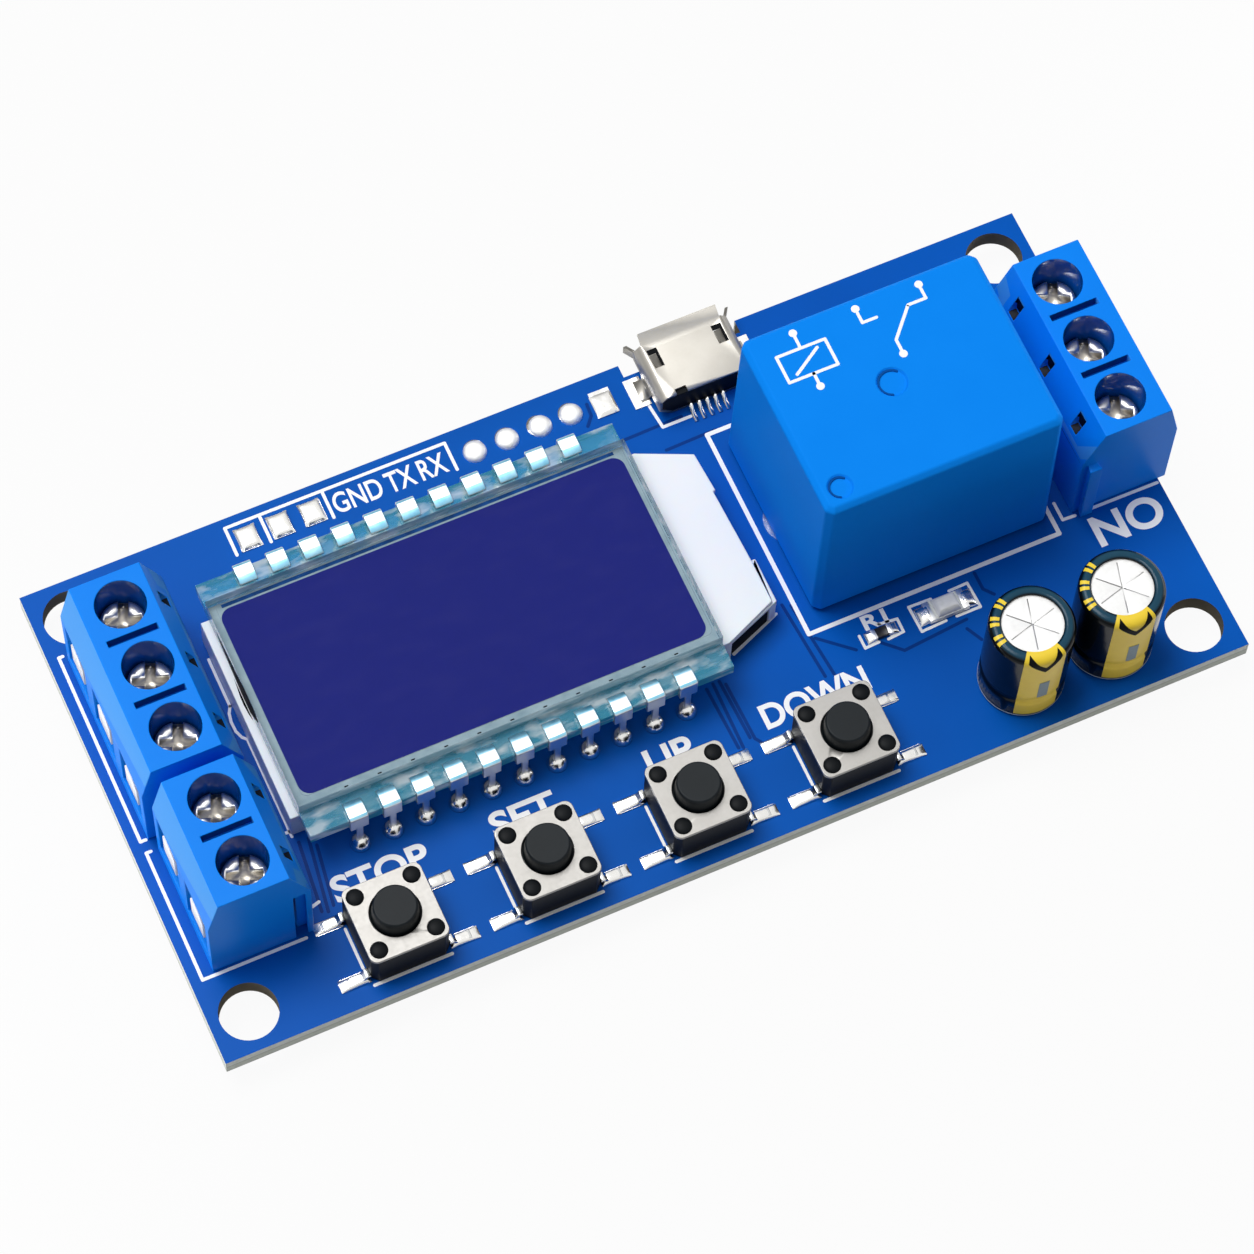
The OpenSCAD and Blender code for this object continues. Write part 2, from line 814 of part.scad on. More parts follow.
module backlight_guide() {
    color("whitesmoke") translate([0, lcd_y, board_t]) {
        difference() {
            linear_extrude(backlight_t - skin_t) backlight_outline(tail_lip);
            tail_pocket();
        }
        translate([0, 0, backlight_t - skin_t]) linear_extrude(skin_t) backlight_outline(0);
    }
}

module lcd_rear_polariser() {
    color("lightgray") translate([lcd_x, lcd_y, board_t + rear_film_z])
        round_plate(view_l, view_w, film_t, view_r);
}

module lcd_rear_glass() {
    color("lightblue") translate([lcd_x, lcd_y, board_t + rear_glass_z]) slab(glass_l, rear_glass_w, glass_t);
}

module lcd_front_glass() {
    color("lightblue") translate([lcd_x, lcd_y, board_t + front_glass_z])
        slab(glass_l, front_glass_w, glass_t);
}

module lcd_front_polariser() {
    color("midnightblue") translate([lcd_x, lcd_y, board_t + front_film_z])
        round_plate(view_l, view_w, film_t, view_r);
}

// A clip that grips the edge of the rear glass, with its pin down through the board.
// The glass edge is at y = 0 and the glass is on the -Y side.
module clip_pin() {
    clip_z0 = board_t + rear_glass_z - clip_t;
    clip_z1 = board_t + front_glass_z + clip_t;
    glass_top = board_t + front_glass_z;
    arch_y = -clip_reach * 0.6;
    along_x(clip_w) polygon([
        [-clip_reach, clip_z0], [clip_t, clip_z0], [clip_t, clip_z1], [0, clip_z1 + clip_rise],
        [arch_y, clip_z1 + clip_rise], [-clip_reach, glass_top + clip_t / 2], [-clip_reach, glass_top],
        [arch_y, glass_top + clip_rise], [0, glass_top],
        [0, clip_z0 + clip_t], [-clip_reach, clip_z0 + clip_t]
    ]);
    translate([-lcd_pin_w / 2, 0, -lcd_tail]) cube([lcd_pin_w, clip_t, lcd_tail + clip_z0 + clip_t]);
}

module lcd_pins_front() {
    color("silver") at_lcd_pins(-1) clip_pin();
}

module lcd_pins_back() {
    color("silver") at_lcd_pins(1) clip_pin();
}

// Socket

module socket_outline(inset) {
    half_w = socket_w / 2 - inset;
    z0 = inset;
    z1 = socket_h - inset;
    corner = socket_corner - inset * 0.6;
    keystone = socket_keystone - inset * 0.6;
    polygon([
        [-half_w + keystone, z0], [half_w - keystone, z0], [half_w, z0 + keystone],
        [half_w, z1 - corner], [half_w - corner, z1], [-half_w + corner, z1],
        [-half_w, z1 - corner], [-half_w, z0 + keystone]
    ]);
}

module at_socket() {
    translate([socket_x, 0, board_t]) children();
}

// The flared lip along one edge of the mouth, drawn as (y, z) with the sheet below the line
module lip_outline() {
    polygon([
        [socket_y1 - socket_t, 0], [socket_y1, 0], [socket_y1 + lip_l, lip_out],
        [socket_y1 + lip_l, lip_out - socket_t], [socket_y1, -socket_t], [socket_y1 - socket_t, -socket_t]
    ]);
}

// The folded sheet with its four lips and the tabs that are soldered to the board
module socket_sheet() {
    side_lip_w = 0.9;
    side_lip_z = socket_h / 2 + 0.25;
    tab_x = socket_w / 2 - socket_t;
    tab_y = socket_y1 - socket_tab_inset;
    along_y(socket_l, (socket_y0 + socket_y1) / 2) difference() {
        socket_outline(0);
        socket_outline(socket_t);
    }
    translate([0, 0, socket_h]) along_x(socket_w - 2 * lip_margin) lip_outline();
    mirror([0, 0, 1]) along_x(socket_w - 2 * (socket_keystone + socket_t)) lip_outline();
    for (side = [0, 1]) mirror([side, 0, 0]) {
        translate([socket_w / 2, 0, side_lip_z]) rotate([0, 90, 0]) along_x(side_lip_w) lip_outline();
        translate([tab_x, tab_y, tin_t]) cube([socket_tab_out, socket_tab_l, socket_t]);
        translate([tab_x, tab_y, tin_t]) cube([socket_t, socket_tab_l, socket_h / 2]);
    }
}

// A finger cut out of the top of the shell and bent down, to hold a plug
module spring_finger() {
    root_y = socket_y1 - spring_window_inset - spring_window_l;
    tip_y = root_y + spring_finger_l;
    tip_z = socket_h - spring_finger_drop;
    along_x(spring_finger_w) polygon([
        [root_y - cut, socket_h], [tip_y, tip_z],
        [tip_y, tip_z - socket_t], [root_y - cut, socket_h - socket_t]
    ]);
}

module socket_shell() {
    window_y = socket_y1 - spring_window_inset - spring_window_l / 2;
    color("gainsboro") at_socket() {
        difference() {
            socket_sheet();
            for (x = [-1, 1])
                translate([x * spring_window_x, window_y, socket_h / 2])
                    slab(spring_window_w, spring_window_l, socket_h);
            translate([rear_notch_x, socket_y0, socket_h / 2]) slab(rear_notch_w, 2 * rear_notch_l, socket_h);
        }
        for (x = [-1, 1]) translate([x * spring_window_x, 0, 0]) spring_finger();
    }
}

module socket_insulator() {
    color("dimgray") at_socket() {
        along_y(plug_block_l, socket_y0 + plug_block_l / 2) socket_outline(socket_t + snug_gap);
        translate([0, socket_y0 + plug_block_l + tongue_l / 2 - cut / 2, socket_h / 2 - tongue_t / 2])
            slab(tongue_w, tongue_l + cut, tongue_t);
    }
}

module socket_contacts() {
    root_z = 0.6;
    bend_y = socket_y0 - 0.4;
    foot_y = socket_y0 - 0.7;
    tip_y = socket_y0 - contact_reach;
    bend = 0.1;
    color("silver") at_socket() for (i = [0 : contact_count - 1])
        along_x(contact_w, (i - (contact_count - 1) / 2) * contact_pitch) polygon([
            [socket_y0, root_z], [bend_y, root_z], [foot_y, contact_sheet],
            [tip_y, contact_sheet], [tip_y, 0], [foot_y + bend, 0],
            [bend_y + bend, root_z - contact_sheet], [socket_y0, root_z - contact_sheet]
        ]);
}

// Terminal blocks

module block_outline() {
    polygon([
        [-block_outer, 0], [block_inner, 0], [block_inner, slope_z], [block_inner - inner_slope, block_h],
        [-block_outer + outer_slope, block_h], [-block_outer, slope_z]
    ]);
}

// Rib that locks one block to the next, narrow at its neck
module dovetail(spare) {
    neck = dovetail_neck / 2 + spare;
    tip = dovetail_w / 2 + spare;
    reach = dovetail_d + spare;
    linear_extrude(dovetail_h + spare) polygon([
        [-neck, -cut], [neck, -cut], [neck, 0], [tip, reach], [-tip, reach], [-neck, 0]
    ]);
}

module terminal_housing(ways) {
    length = ways * way_pitch;
    color("dodgerblue") difference() {
        union() {
            along_y(length) block_outline();
            translate([dovetail_x, length / 2, 0]) dovetail(0);
        }
        translate([dovetail_x, -length / 2, -cut]) dovetail(slide_gap);
        at_ways(ways) way_cuts();
        for (i = [1 : ways - 1])
            translate([-slide_gap, way_y(i, ways) + way_pitch / 2, block_h - slot_d])
                slab(slot_l, slot_w, slot_d + cut);
    }
}

// What is open in each way: the screw's well and hole, the clamp's chamber,
// the wire's entry and a small slot in the inner slope
module way_cuts() {
    translate([0, 0, well_floor]) cylinder(h = well_depth + cut, d = well_d);
    cylinder(h = well_floor + cut, d = shank_d + 2 * screw_gap);
    translate([-chamber_out, -chamber_w / 2, -cut])
        cube([chamber_out + chamber_in, chamber_w, chamber_top + cut]);
    translate([-block_outer - cut, -entry_w / 2, entry_sill])
        cube([wire_wall + 2 * cut, entry_w, entry_top - entry_sill]);
    probe_z1 = block_h - probe_drop;
    translate([block_inner - probe_depth, -probe_w / 2, probe_z1 - probe_h])
        cube([probe_depth + cut, probe_w, probe_h]);
}

recess_w = 0.75;
recess_l = 2.6;
recess_d = 0.9;
recess_turn = -22;
head_slot_d = 0.6;
head_bevel = 0.25;

// A screw that takes a cross or a flat driver: the cross is sunk, and one of its arms runs on as a shallower slot
module terminal_screw() {
    head_top = well_floor + head_h;
    color("silver") difference() {
        union() {
            translate([0, 0, screw_tip]) cylinder(h = well_floor - screw_tip + cut, d = shank_d);
            translate([0, 0, well_floor]) cylinder(h = head_h - head_bevel, d = head_d);
            translate([0, 0, head_top - head_bevel])
                cylinder(h = head_bevel, d1 = head_d, d2 = head_d - 2 * head_bevel);
        }
        rotate([0, 0, recess_turn]) {
            for (turn = [0, 90]) rotate([0, 0, turn]) slab(recess_l, recess_w, recess_d + cut, head_top - recess_d);
            slab(recess_w, head_d + 2 * cut, head_slot_d + cut, head_top - head_slot_d);
        }
    }
}

// A box of sheet metal that the screw lifts, to press the wire against the strip
module wire_clamp() {
    color("silver") difference() {
        translate([-clamp_out, -clamp_w / 2, clamp_floor]) cube([clamp_l, clamp_w, clamp_h]);
        translate([-clamp_out - cut, -clamp_w / 2 + clamp_wall, clamp_floor + clamp_wall])
            cube([clamp_l + 2 * cut, clamp_w - 2 * clamp_wall, clamp_gap]);
        translate([0, 0, clamp_top - clamp_top_t - cut])
            cylinder(h = clamp_top_t + 2 * cut, d = shank_d + 2 * thread_gap);
    }
}

// The strip that the wire is pressed against, bent down into a pin. Its outer end is turned up,
// which keeps a wire from going in above it.
module terminal_pin() {
    strip_l = clamp_out + strip_reach + leg_x0 + strip_t;
    translate([-clamp_out - strip_reach, -strip_width / 2, strip_z]) {
        cube([strip_l, strip_width, strip_t]);
        cube([guard_t, strip_width, guard_h]);
    }
    translate([leg_x0, -strip_width / 2, slide_gap]) cube([strip_t, strip_width, strip_z]);
    translate([leg_x0, -leg_w / 2, -board_t - terminal_tail])
        cube([strip_t, leg_w, board_t + terminal_tail + strip_z]);
}

module trigger_housing() {
    at_trigger() terminal_housing(trigger_ways);
}

module power_housing() {
    at_power() terminal_housing(power_ways);
}

module output_housing() {
    at_output() terminal_housing(output_ways);
}

module terminal_pins() {
    color("silver") at_all_ways() terminal_pin();
}

// One screw or clamp of a block, counted from its back end
module trigger_way(i) {
    at_trigger() translate([0, way_y(i - 1, trigger_ways), 0]) children();
}

module power_way(i) {
    at_power() translate([0, way_y(i - 1, power_ways), 0]) children();
}

module output_way(i) {
    at_output() translate([0, way_y(output_ways - i, output_ways), 0]) children();
}

// Buttons

module switch_base() {
    base_lift = 0.1;
    foot_d = 1.0;
    corner_w = (button_w - button_corner) * sqrt(2);
    difference() {
        union() {
            intersection() {
                slab(button_w, button_w, button_base_h - base_lift, base_lift);
                rotate([0, 0, 45]) slab(corner_w, corner_w, button_base_h);
            }
            at_corners(rivet_pitch, rivet_pitch) {
                cylinder(h = button_base_h + cover_t + cut, d = rivet_d);
                translate([0, 0, button_base_h + cover_t]) dome(rivet_head_d, rivet_head_h);
                cylinder(h = base_lift + cut, d = foot_d);
            }
        }
        translate([0, 0, button_floor]) cylinder(h = button_base_h, d = pocket_d);
    }
}

module switch_cover() {
    corner_r = 0.6;
    difference() {
        translate([0, 0, button_base_h]) round_plate(button_w, button_w, cover_t, corner_r);
        translate([0, 0, button_base_h - cut]) {
            cylinder(h = cover_t + 2 * cut, d = plunger_d + 2 * plunger_gap);
            at_corners(rivet_pitch, rivet_pitch) cylinder(h = cover_t + 2 * cut, d = rivet_d + 2 * snug_gap);
        }
    }
}

// Underside of a plunger's flange, and of the small boss that presses the dome
flange_z = button_base_h - flange_gap - flange_t;
boss_z = flange_z - boss_h;
dome_h = boss_z - plunger_travel - dome_gap - button_floor;

module plunger() {
    edge = 0.15;
    cover_z = button_base_h + cover_t;
    top_d = plunger_d - plunger_taper;
    color("#2b3135") {
        translate([0, 0, boss_z]) cylinder(h = boss_h + cut, d = boss_d);
        translate([0, 0, flange_z]) cylinder(h = flange_t, d = flange_d);
        translate([0, 0, flange_z]) cylinder(h = cover_z - flange_z, d = plunger_d);
        translate([0, 0, cover_z]) cylinder(h = plunger_h - edge - cover_z, d1 = plunger_d, d2 = top_d);
        translate([0, 0, plunger_h - edge]) cylinder(h = edge, d1 = top_d, d2 = top_d - edge);
    }
}

module switch_dome() {
    rim_r = dome_d / 2;
    waist_r = dome_d * 0.3;
    waist_h = dome_h * 0.75;
    rotate_extrude() polygon([
        [0, dome_h - dome_t], [waist_r, waist_h - dome_t], [rim_r - dome_t, 0], [rim_r, 0],
        [rim_r, dome_t], [waist_r, waist_h], [0, dome_h]
    ]);
}

// A gull-wing leg that leaves the base at x = 0 and ends on its pad
module switch_leg() {
    translate([0, 0, tin_t]) along_y(switch_leg_w) polygon([
        [0, leg_root_z], [0.35, leg_root_z], [0.65, leg_t], [leg_reach, leg_t], [leg_reach, 0],
        [0.5, 0], [0.2, leg_root_z - leg_t], [0, leg_root_z - leg_t]
    ]);
}

module switch_bases() {
    color("#17191b") at_buttons() switch_base();
}

module switch_covers() {
    color("gainsboro") at_buttons() switch_cover();
}

module switch_domes() {
    color("silver") at_buttons() translate([0, 0, button_floor]) switch_dome();
}

module switch_legs() {
    color("silver") at_buttons() at_switch_legs() switch_leg();
}

// Relay

// The outside of the case, with a small flat down each corner
module relay_outside() {
    across = (relay_l + relay_w - 2 * relay_corner) / sqrt(2);
    intersection() {
        drafted_box(relay_l, relay_w, relay_lift, relay_h, relay_draft, relay_bevel);
        rotate([0, 0, 45])
            drafted_box(across, across, relay_lift, relay_h, relay_draft * sqrt(2), relay_bevel);
    }
}

module relay_case() {
    color("dodgerblue") at_relay() difference() {
        relay_outside();
        drafted_box(
            relay_l - 2 * relay_wall, relay_w - 2 * relay_wall, relay_lift - cut, relay_h - relay_wall,
            relay_draft, relay_bevel / 2
        );
        translate([0, 0, relay_h - dimple_depth]) {
            translate([gate_dimple_x, gate_dimple_y, 0]) cylinder(h = 2 * dimple_depth, d = gate_dimple_d);
            translate([-relay_l / 2 + vent_dimple_inset, -relay_w / 2 + vent_dimple_inset, 0])
                cylinder(h = 2 * dimple_depth, d = vent_dimple_d);
        }
    }
}

module relay_base() {
    base_l = relay_l - 2 * relay_wall - 2 * relay_fit;
    base_w = relay_w - 2 * relay_wall - 2 * relay_fit;
    color("#1d5fb0") at_relay() difference() {
        union() {
            slab(base_l, base_w, relay_base_t, relay_lift);
            at_corners(base_l - 2 * relay_foot_d, base_w / 2)
                cylinder(h = relay_lift + cut, d = relay_foot_d);
        }
        translate([0, 0, -cut]) {
            at_relay_pins()
                slab(relay_pin_t + 2 * snug_gap, relay_pin_w + 2 * snug_gap, relay_floor + 2 * cut);
            at_coil_pins() cylinder(h = relay_floor + 2 * cut, d = coil_pin_d + 2 * snug_gap);
        }
    }
}

module at_coil() {
    at_relay() translate([coil_x, 0, 0]) children();
}

module relay_bobbin() {
    color("white") at_coil() difference() {
        union() {
            translate([0, 0, yoke_floor]) cylinder(h = coil_top - yoke_floor, d = coil_tube_d);
            translate([0, 0, yoke_floor]) cylinder(h = coil_flange_t, d = coil_flange_d);
            translate([0, 0, coil_top - coil_flange_t]) cylinder(h = coil_flange_t, d = coil_flange_d);
        }
        translate([0, 0, yoke_floor - cut]) cylinder(h = coil_top, d = core_d + 2 * snug_gap);
    }
}

module relay_winding() {
    color("peru") at_coil() translate([0, 0, yoke_floor + coil_flange_t + snug_gap]) difference() {
        winding_h = coil_top - yoke_floor - 2 * coil_flange_t - 2 * snug_gap;
        cylinder(h = winding_h, d = coil_d);
        translate([0, 0, -cut]) cylinder(h = winding_h + 2 * cut, d = coil_tube_d + 2 * snug_gap);
    }
}

module relay_core() {
    color("silver") at_coil() {
        translate([0, 0, relay_floor]) cylinder(h = coil_top - relay_floor + cut, d = core_d);
        translate([0, 0, coil_top]) cylinder(h = pole_t, d = pole_d);
    }
}

module relay_yoke() {
    foot_l = coil_x + core_d - yoke_x0;
    color("silver") at_relay() difference() {
        union() {
            translate([yoke_x0, -yoke_w / 2, relay_floor]) cube([yoke_t, yoke_w, yoke_top - relay_floor]);
            translate([yoke_x0, -yoke_w / 2, relay_floor]) cube([foot_l, yoke_w, yoke_t]);
        }
        translate([coil_x, 0, relay_floor - cut]) cylinder(h = yoke_t + 2 * cut, d = core_d + 2 * snug_gap);
        for (y = [-1, 1])
            translate([coil_pin_x, y * contact_pin_y, relay_floor - cut])
                cylinder(h = yoke_top, d = 3 * coil_pin_d);
    }
}

module relay_armature() {
    armature_l = coil_x + pole_d / 2 + armature_lap - yoke_x0;
    color("silver") at_relay()
        translate([yoke_x0, -armature_w / 2, armature_z]) cube([armature_l, armature_w, armature_t]);
}

// The leaf that carries the moving contact
module relay_contact_spring() {
    spring_x0 = coil_x - pole_d;
    spring_x1 = contact_x + contact_d / 2 + spring_lap;
    color("goldenrod") at_relay() {
        translate([spring_x0, -spring_w / 2, spring_z]) cube([spring_x1 - spring_x0, spring_w, spring_t]);
        translate([contact_x, 0, spring_z - contact_t]) cylinder(h = 2 * contact_t + spring_t, d = contact_d);
    }
}

// A fixed contact: a flat post from below the board, an arm across and a contact on the arm
module fixed_contact(side, arm_z, contact_z) {
    translate([contact_x, side * contact_pin_y, 0])
        slab(relay_pin_t, relay_pin_w, board_t + relay_tail + arm_z + contact_arm_t, -board_t - relay_tail);
    arm_l = contact_pin_y + relay_pin_w / 2 + contact_arm_w / 2;
    translate([contact_x, side * (arm_l - contact_arm_w) / 2, 0])
        slab(contact_arm_w, arm_l, contact_arm_t, arm_z);
    translate([contact_x, 0, contact_z]) cylinder(h = contact_t + cut, d = contact_d);
}

module relay_terminals() {
    pin_l = board_t + relay_tail;
    color("silver") at_relay() {
        fixed_contact(1, open_arm_z, open_arm_z + contact_arm_t - cut);
        fixed_contact(-1, closed_arm_z, closed_arm_z - contact_t);
        translate([common_pin_x, 0, 0]) slab(relay_pin_t, relay_pin_w, pin_l + relay_floor, -pin_l);
        at_coil_pins() translate([0, 0, -pin_l])
            cylinder(h = pin_l + relay_floor + coil_pin_rise, d = coil_pin_d);
    }
}

// Capacitors

// The side of a capacitor from its foot z0 to its top z1, as (r, z) points, at a depth under the sleeve's face:
// a groove is rolled in round the bung, and the shoulder is round
function capacitor_side(depth, z0, z1) = let (
    r = capacitor_d / 2 - depth,
    wheel_r = crimp_wheel_r + depth,
    wheel_x = capacitor_d / 2 - crimp_d + crimp_wheel_r,
    half_turn = acos((wheel_x - r) / wheel_r),
    round_r = shoulder_r - depth
) concat(
    [[r, z0]],
    [for (i = [-3 : 3]) let (a = half_turn * i / 3) [wheel_x - wheel_r * cos(a), crimp_z + wheel_r * sin(a)]],
    [for (a = [0 : 15 : 90]) [r - round_r + round_r * cos(a), z1 - round_r + round_r * sin(a)]]
);

function reversed(points) = [for (i = [len(points) - 1 : -1 : 0]) points[i]];

module capacitor_cans() {
    can_z0 = bung_t;
    can_top = capacitor_h - sleeve_t - snug_gap;
    color("whitesmoke") at_capacitors() difference() {
        rotate_extrude() polygon(concat(
            [[0, can_z0], [can_d / 2 - can_bevel, can_z0]],
            capacitor_side(sleeve_t + snug_gap, can_z0 + can_bevel, can_top),
            [[0, can_top]]
        ));
        for (turn = [15, 75, 135]) rotate([0, 0, turn]) slab(vent_l, vent_w, vent_d + cut, can_top - vent_d);
    }
}

module capacitor_sleeves() {
    fold_r = capacitor_d / 2 - sleeve_fold;
    foot_z = 0.3;
    color("#101418") at_capacitors() rotate_extrude() polygon(concat(
        capacitor_side(0, foot_z, capacitor_h),
        [[fold_r, capacitor_h], [fold_r, capacitor_h - sleeve_t]],
        reversed(capacitor_side(sleeve_t, foot_z, capacitor_h - sleeve_t))
    ));
}

module capacitor_bungs() {
    color("#26282a") at_capacitors() difference() {
        cylinder(h = bung_t, d = bung_d);
        for (x = [-1, 1])
            translate([x * lead_pitch / 2, 0, -cut])
                cylinder(h = bung_t + 2 * cut, d = lead_d + 2 * snug_gap);
    }
}

module capacitor_leads() {
    lead_l = board_t + lead_tail + bung_t;
    color("silver") at_capacitor_leads()
        translate([0, 0, -board_t - lead_tail]) cylinder(h = lead_l, d = lead_d);
}

// Small parts on the top of the board

module light_base() {
    color("whitesmoke") translate([light_x, light_row_y, board_t]) {
        slab(light_l - 2 * chip_cap_t, light_w, light_base_h);
        for (x = [-1, 1])
            translate([x * (light_l - light_cap_l) / 2, 0, 0])
                slab(light_cap_l, light_w, light_base_h + chip_cap_t);
    }
}

module light_lens() {
    lens_w = light_w - 2 * lens_inset;
    color("honeydew") translate([light_x, light_row_y, board_t])
        drafted_box(lens_l, lens_w, light_base_h, light_base_h + lens_h, lens_lean, lens_lean);
}

module chip(l, w, h) {
    slab(l - 2 * chip_cap_t, w - 2 * chip_cap_t, h - chip_cap_t);
    for (x = [-1, 1]) translate([x * (l - chip_cap_l) / 2, 0, 0]) slab(chip_cap_l, w, h);
}

module chip_resistor() {
    color("#1b1b1d") translate([resistor_x, light_row_y, board_t]) chip(chip_l, chip_w, chip_h);
}

// Chips on the underside, with heights counted down from the board

module package(l, w, h) {
    drafted_box(l, w, chip_stand, h, package_lean, package_bevel);
}

module chip_bodies() {
    color("#202224") under_board() {
        translate([driver_x, driver_y, 0]) package(driver_w, driver_w, driver_h);
        translate([brain_x, brain_y, 0]) package(brain_w, brain_l, brain_h);
        translate([supply_x, supply_y, 0]) package(supply_l, supply_w, tall_chip_h);
        translate([isolator_x, isolator_y, 0]) package(isolator_w, isolator_l, isolator_h);
        translate([diode_x, diode_y, 0]) package(diode_l, diode_w, diode_h);
    }
}

// A leg that leaves a package at x = 0, half way up it
module chip_leg(w, root_z, reach) {
    along_y(w) polygon([
        [0, root_z], [reach * 0.3, root_z], [reach * 0.5, chip_leg_t], [reach, chip_leg_t], [reach, 0],
        [reach * 0.4, 0], [reach * 0.2, root_z - chip_leg_t], [0, root_z - chip_leg_t]
    ]);
}

// A row of legs along each of the two sides of a package that face along X
module leg_rows(body_l, count, pitch, w, root_z, reach) {
    for (side = [0, 180], i = [0 : count - 1])
        rotate([0, 0, side]) translate([body_l / 2, (i - (count - 1) / 2) * pitch, 0])
            chip_leg(w, root_z, reach);
}

module chip_legs() {
    fine_reach = 1.0;
    supply_reach = 1.7;
    supply_root = tall_chip_h / 2;
    color("silver") under_board() {
        translate([driver_x, driver_y, 0]) for (turn = [0, 90]) rotate([0, 0, turn])
            leg_rows(driver_w, driver_leg_count, driver_leg_pitch, driver_leg_w, driver_h / 2, fine_reach);
        translate([brain_x, brain_y, 0])
            leg_rows(brain_w, brain_leg_count, brain_leg_pitch, brain_leg_w, brain_h / 2, fine_reach);
        translate([supply_x, supply_y, 0]) {
            for (i = [-1 : 1]) rotate([0, 0, -90]) translate([supply_w / 2, i * supply_leg_pitch, 0])
                chip_leg(supply_leg_w, supply_root, supply_reach);
            rotate([0, 0, 90]) translate([supply_w / 2, 0, 0])
                chip_leg(supply_tab_w, supply_root, supply_reach);
        }
        translate([isolator_x, isolator_y, 0])
            leg_rows(isolator_w, 2, isolator_leg_pitch, isolator_leg_w, isolator_h / 2, isolator_leg_reach);
        translate([diode_x, diode_y, 0]) leg_rows(diode_l, 1, 0, diode_leg_w, diode_h / 2, diode_leg_reach);
    }
}

// Rows of chip resistors and capacitors beside the larger chips
module chip_passives() {
    row_x = [brain_x + brain_to_row, driver_x - driver_to_row];
    color("#8d6b43") under_board() for (x = row_x, i = [0 : passive_count - 1])
        translate([x, lcd_y + (i - (passive_count - 1) / 2) * passive_pitch, 0]) chip(chip_l, chip_w, chip_h);
}

circuit_board();
tinned_pads();
solder_joints();
lcd_rear_glass();
lcd_front_glass();
lcd_front_polariser();
lcd_rear_polariser();
lcd_pins_front();
lcd_pins_back();
backlight_guide();
socket_shell();
socket_insulator();
socket_contacts();
trigger_housing();
power_housing();
output_housing();
terminal_pins();
trigger_way(1) terminal_screw();  // trigger_screw_1
trigger_way(2) terminal_screw();  // trigger_screw_2
trigger_way(3) terminal_screw();  // trigger_screw_3
power_way(1) terminal_screw();  // power_screw_1
power_way(2) terminal_screw();  // power_screw_2
output_way(1) terminal_screw();  // output_screw_1
output_way(2) terminal_screw();  // output_screw_2
output_way(3) terminal_screw();  // output_screw_3
trigger_way(1) wire_clamp();  // trigger_clamp_1
trigger_way(2) wire_clamp();  // trigger_clamp_2
trigger_way(3) wire_clamp();  // trigger_clamp_3
power_way(1) wire_clamp();  // power_clamp_1
power_way(2) wire_clamp();  // power_clamp_2
output_way(1) wire_clamp();  // output_clamp_1
output_way(2) wire_clamp();  // output_clamp_2
output_way(3) wire_clamp();  // output_clamp_3
at_button(0) plunger();  // stop_plunger
at_button(1) plunger();  // set_plunger
at_button(2) plunger();  // up_plunger
at_button(3) plunger();  // down_plunger
switch_bases();
switch_covers();
switch_domes();
switch_legs();
relay_case();
relay_base();
relay_bobbin();
relay_winding();
relay_core();
relay_yoke();
relay_armature();
relay_contact_spring();
relay_terminals();
capacitor_cans();
capacitor_sleeves();
capacitor_bungs();
capacitor_leads();
light_base();
light_lens();
chip_resistor();
chip_bodies();
chip_legs();
chip_passives();
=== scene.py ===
# %% [markdown]
# # A timer relay module
# A blue circuit board carries a display, four push buttons, a boxed relay, two capacitors, a small power
# socket and three screw terminal blocks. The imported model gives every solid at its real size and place.
# This lesson gives each solid its finish and adds what is too fine for the solids: soft edges, solder,
# print and film. Lengths are written in millimetres and turned into metres once, when a piece is made.

# %% Load the frame
import json
import math

import bmesh
import bpy
from mathutils import Matrix, Quaternion, Vector


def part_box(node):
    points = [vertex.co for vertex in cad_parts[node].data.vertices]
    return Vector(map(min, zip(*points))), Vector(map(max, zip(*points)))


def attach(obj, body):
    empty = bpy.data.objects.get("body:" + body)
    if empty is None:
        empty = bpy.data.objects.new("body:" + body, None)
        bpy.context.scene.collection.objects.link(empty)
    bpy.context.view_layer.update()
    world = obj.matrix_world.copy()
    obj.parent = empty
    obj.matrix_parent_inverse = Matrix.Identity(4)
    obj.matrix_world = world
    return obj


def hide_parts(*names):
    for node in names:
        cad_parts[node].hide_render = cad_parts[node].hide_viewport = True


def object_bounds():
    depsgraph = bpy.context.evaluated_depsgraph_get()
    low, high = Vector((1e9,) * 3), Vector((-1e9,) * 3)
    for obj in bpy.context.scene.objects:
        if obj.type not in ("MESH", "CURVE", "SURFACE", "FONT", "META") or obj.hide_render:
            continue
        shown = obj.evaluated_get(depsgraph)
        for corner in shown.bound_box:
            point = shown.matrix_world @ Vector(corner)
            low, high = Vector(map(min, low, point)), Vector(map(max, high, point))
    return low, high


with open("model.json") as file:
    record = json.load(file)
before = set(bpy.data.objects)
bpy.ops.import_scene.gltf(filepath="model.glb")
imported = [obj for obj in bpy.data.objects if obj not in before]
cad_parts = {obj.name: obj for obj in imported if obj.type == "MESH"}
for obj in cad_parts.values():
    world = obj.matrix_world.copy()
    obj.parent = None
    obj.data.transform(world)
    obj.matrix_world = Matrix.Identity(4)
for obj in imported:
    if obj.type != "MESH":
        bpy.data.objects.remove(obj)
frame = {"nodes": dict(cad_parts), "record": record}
cad_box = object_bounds()

MM = 0.001
record = frame["record"]
node_body = {}
for body, members in record["behaviour"]["bodies"].items():
    for member in members:
        node_body[member] = body


def box_mm(node):
    """The lowest and highest corners of a CAD node, in millimetres."""
    low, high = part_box(node)
    return low / MM, high / MM


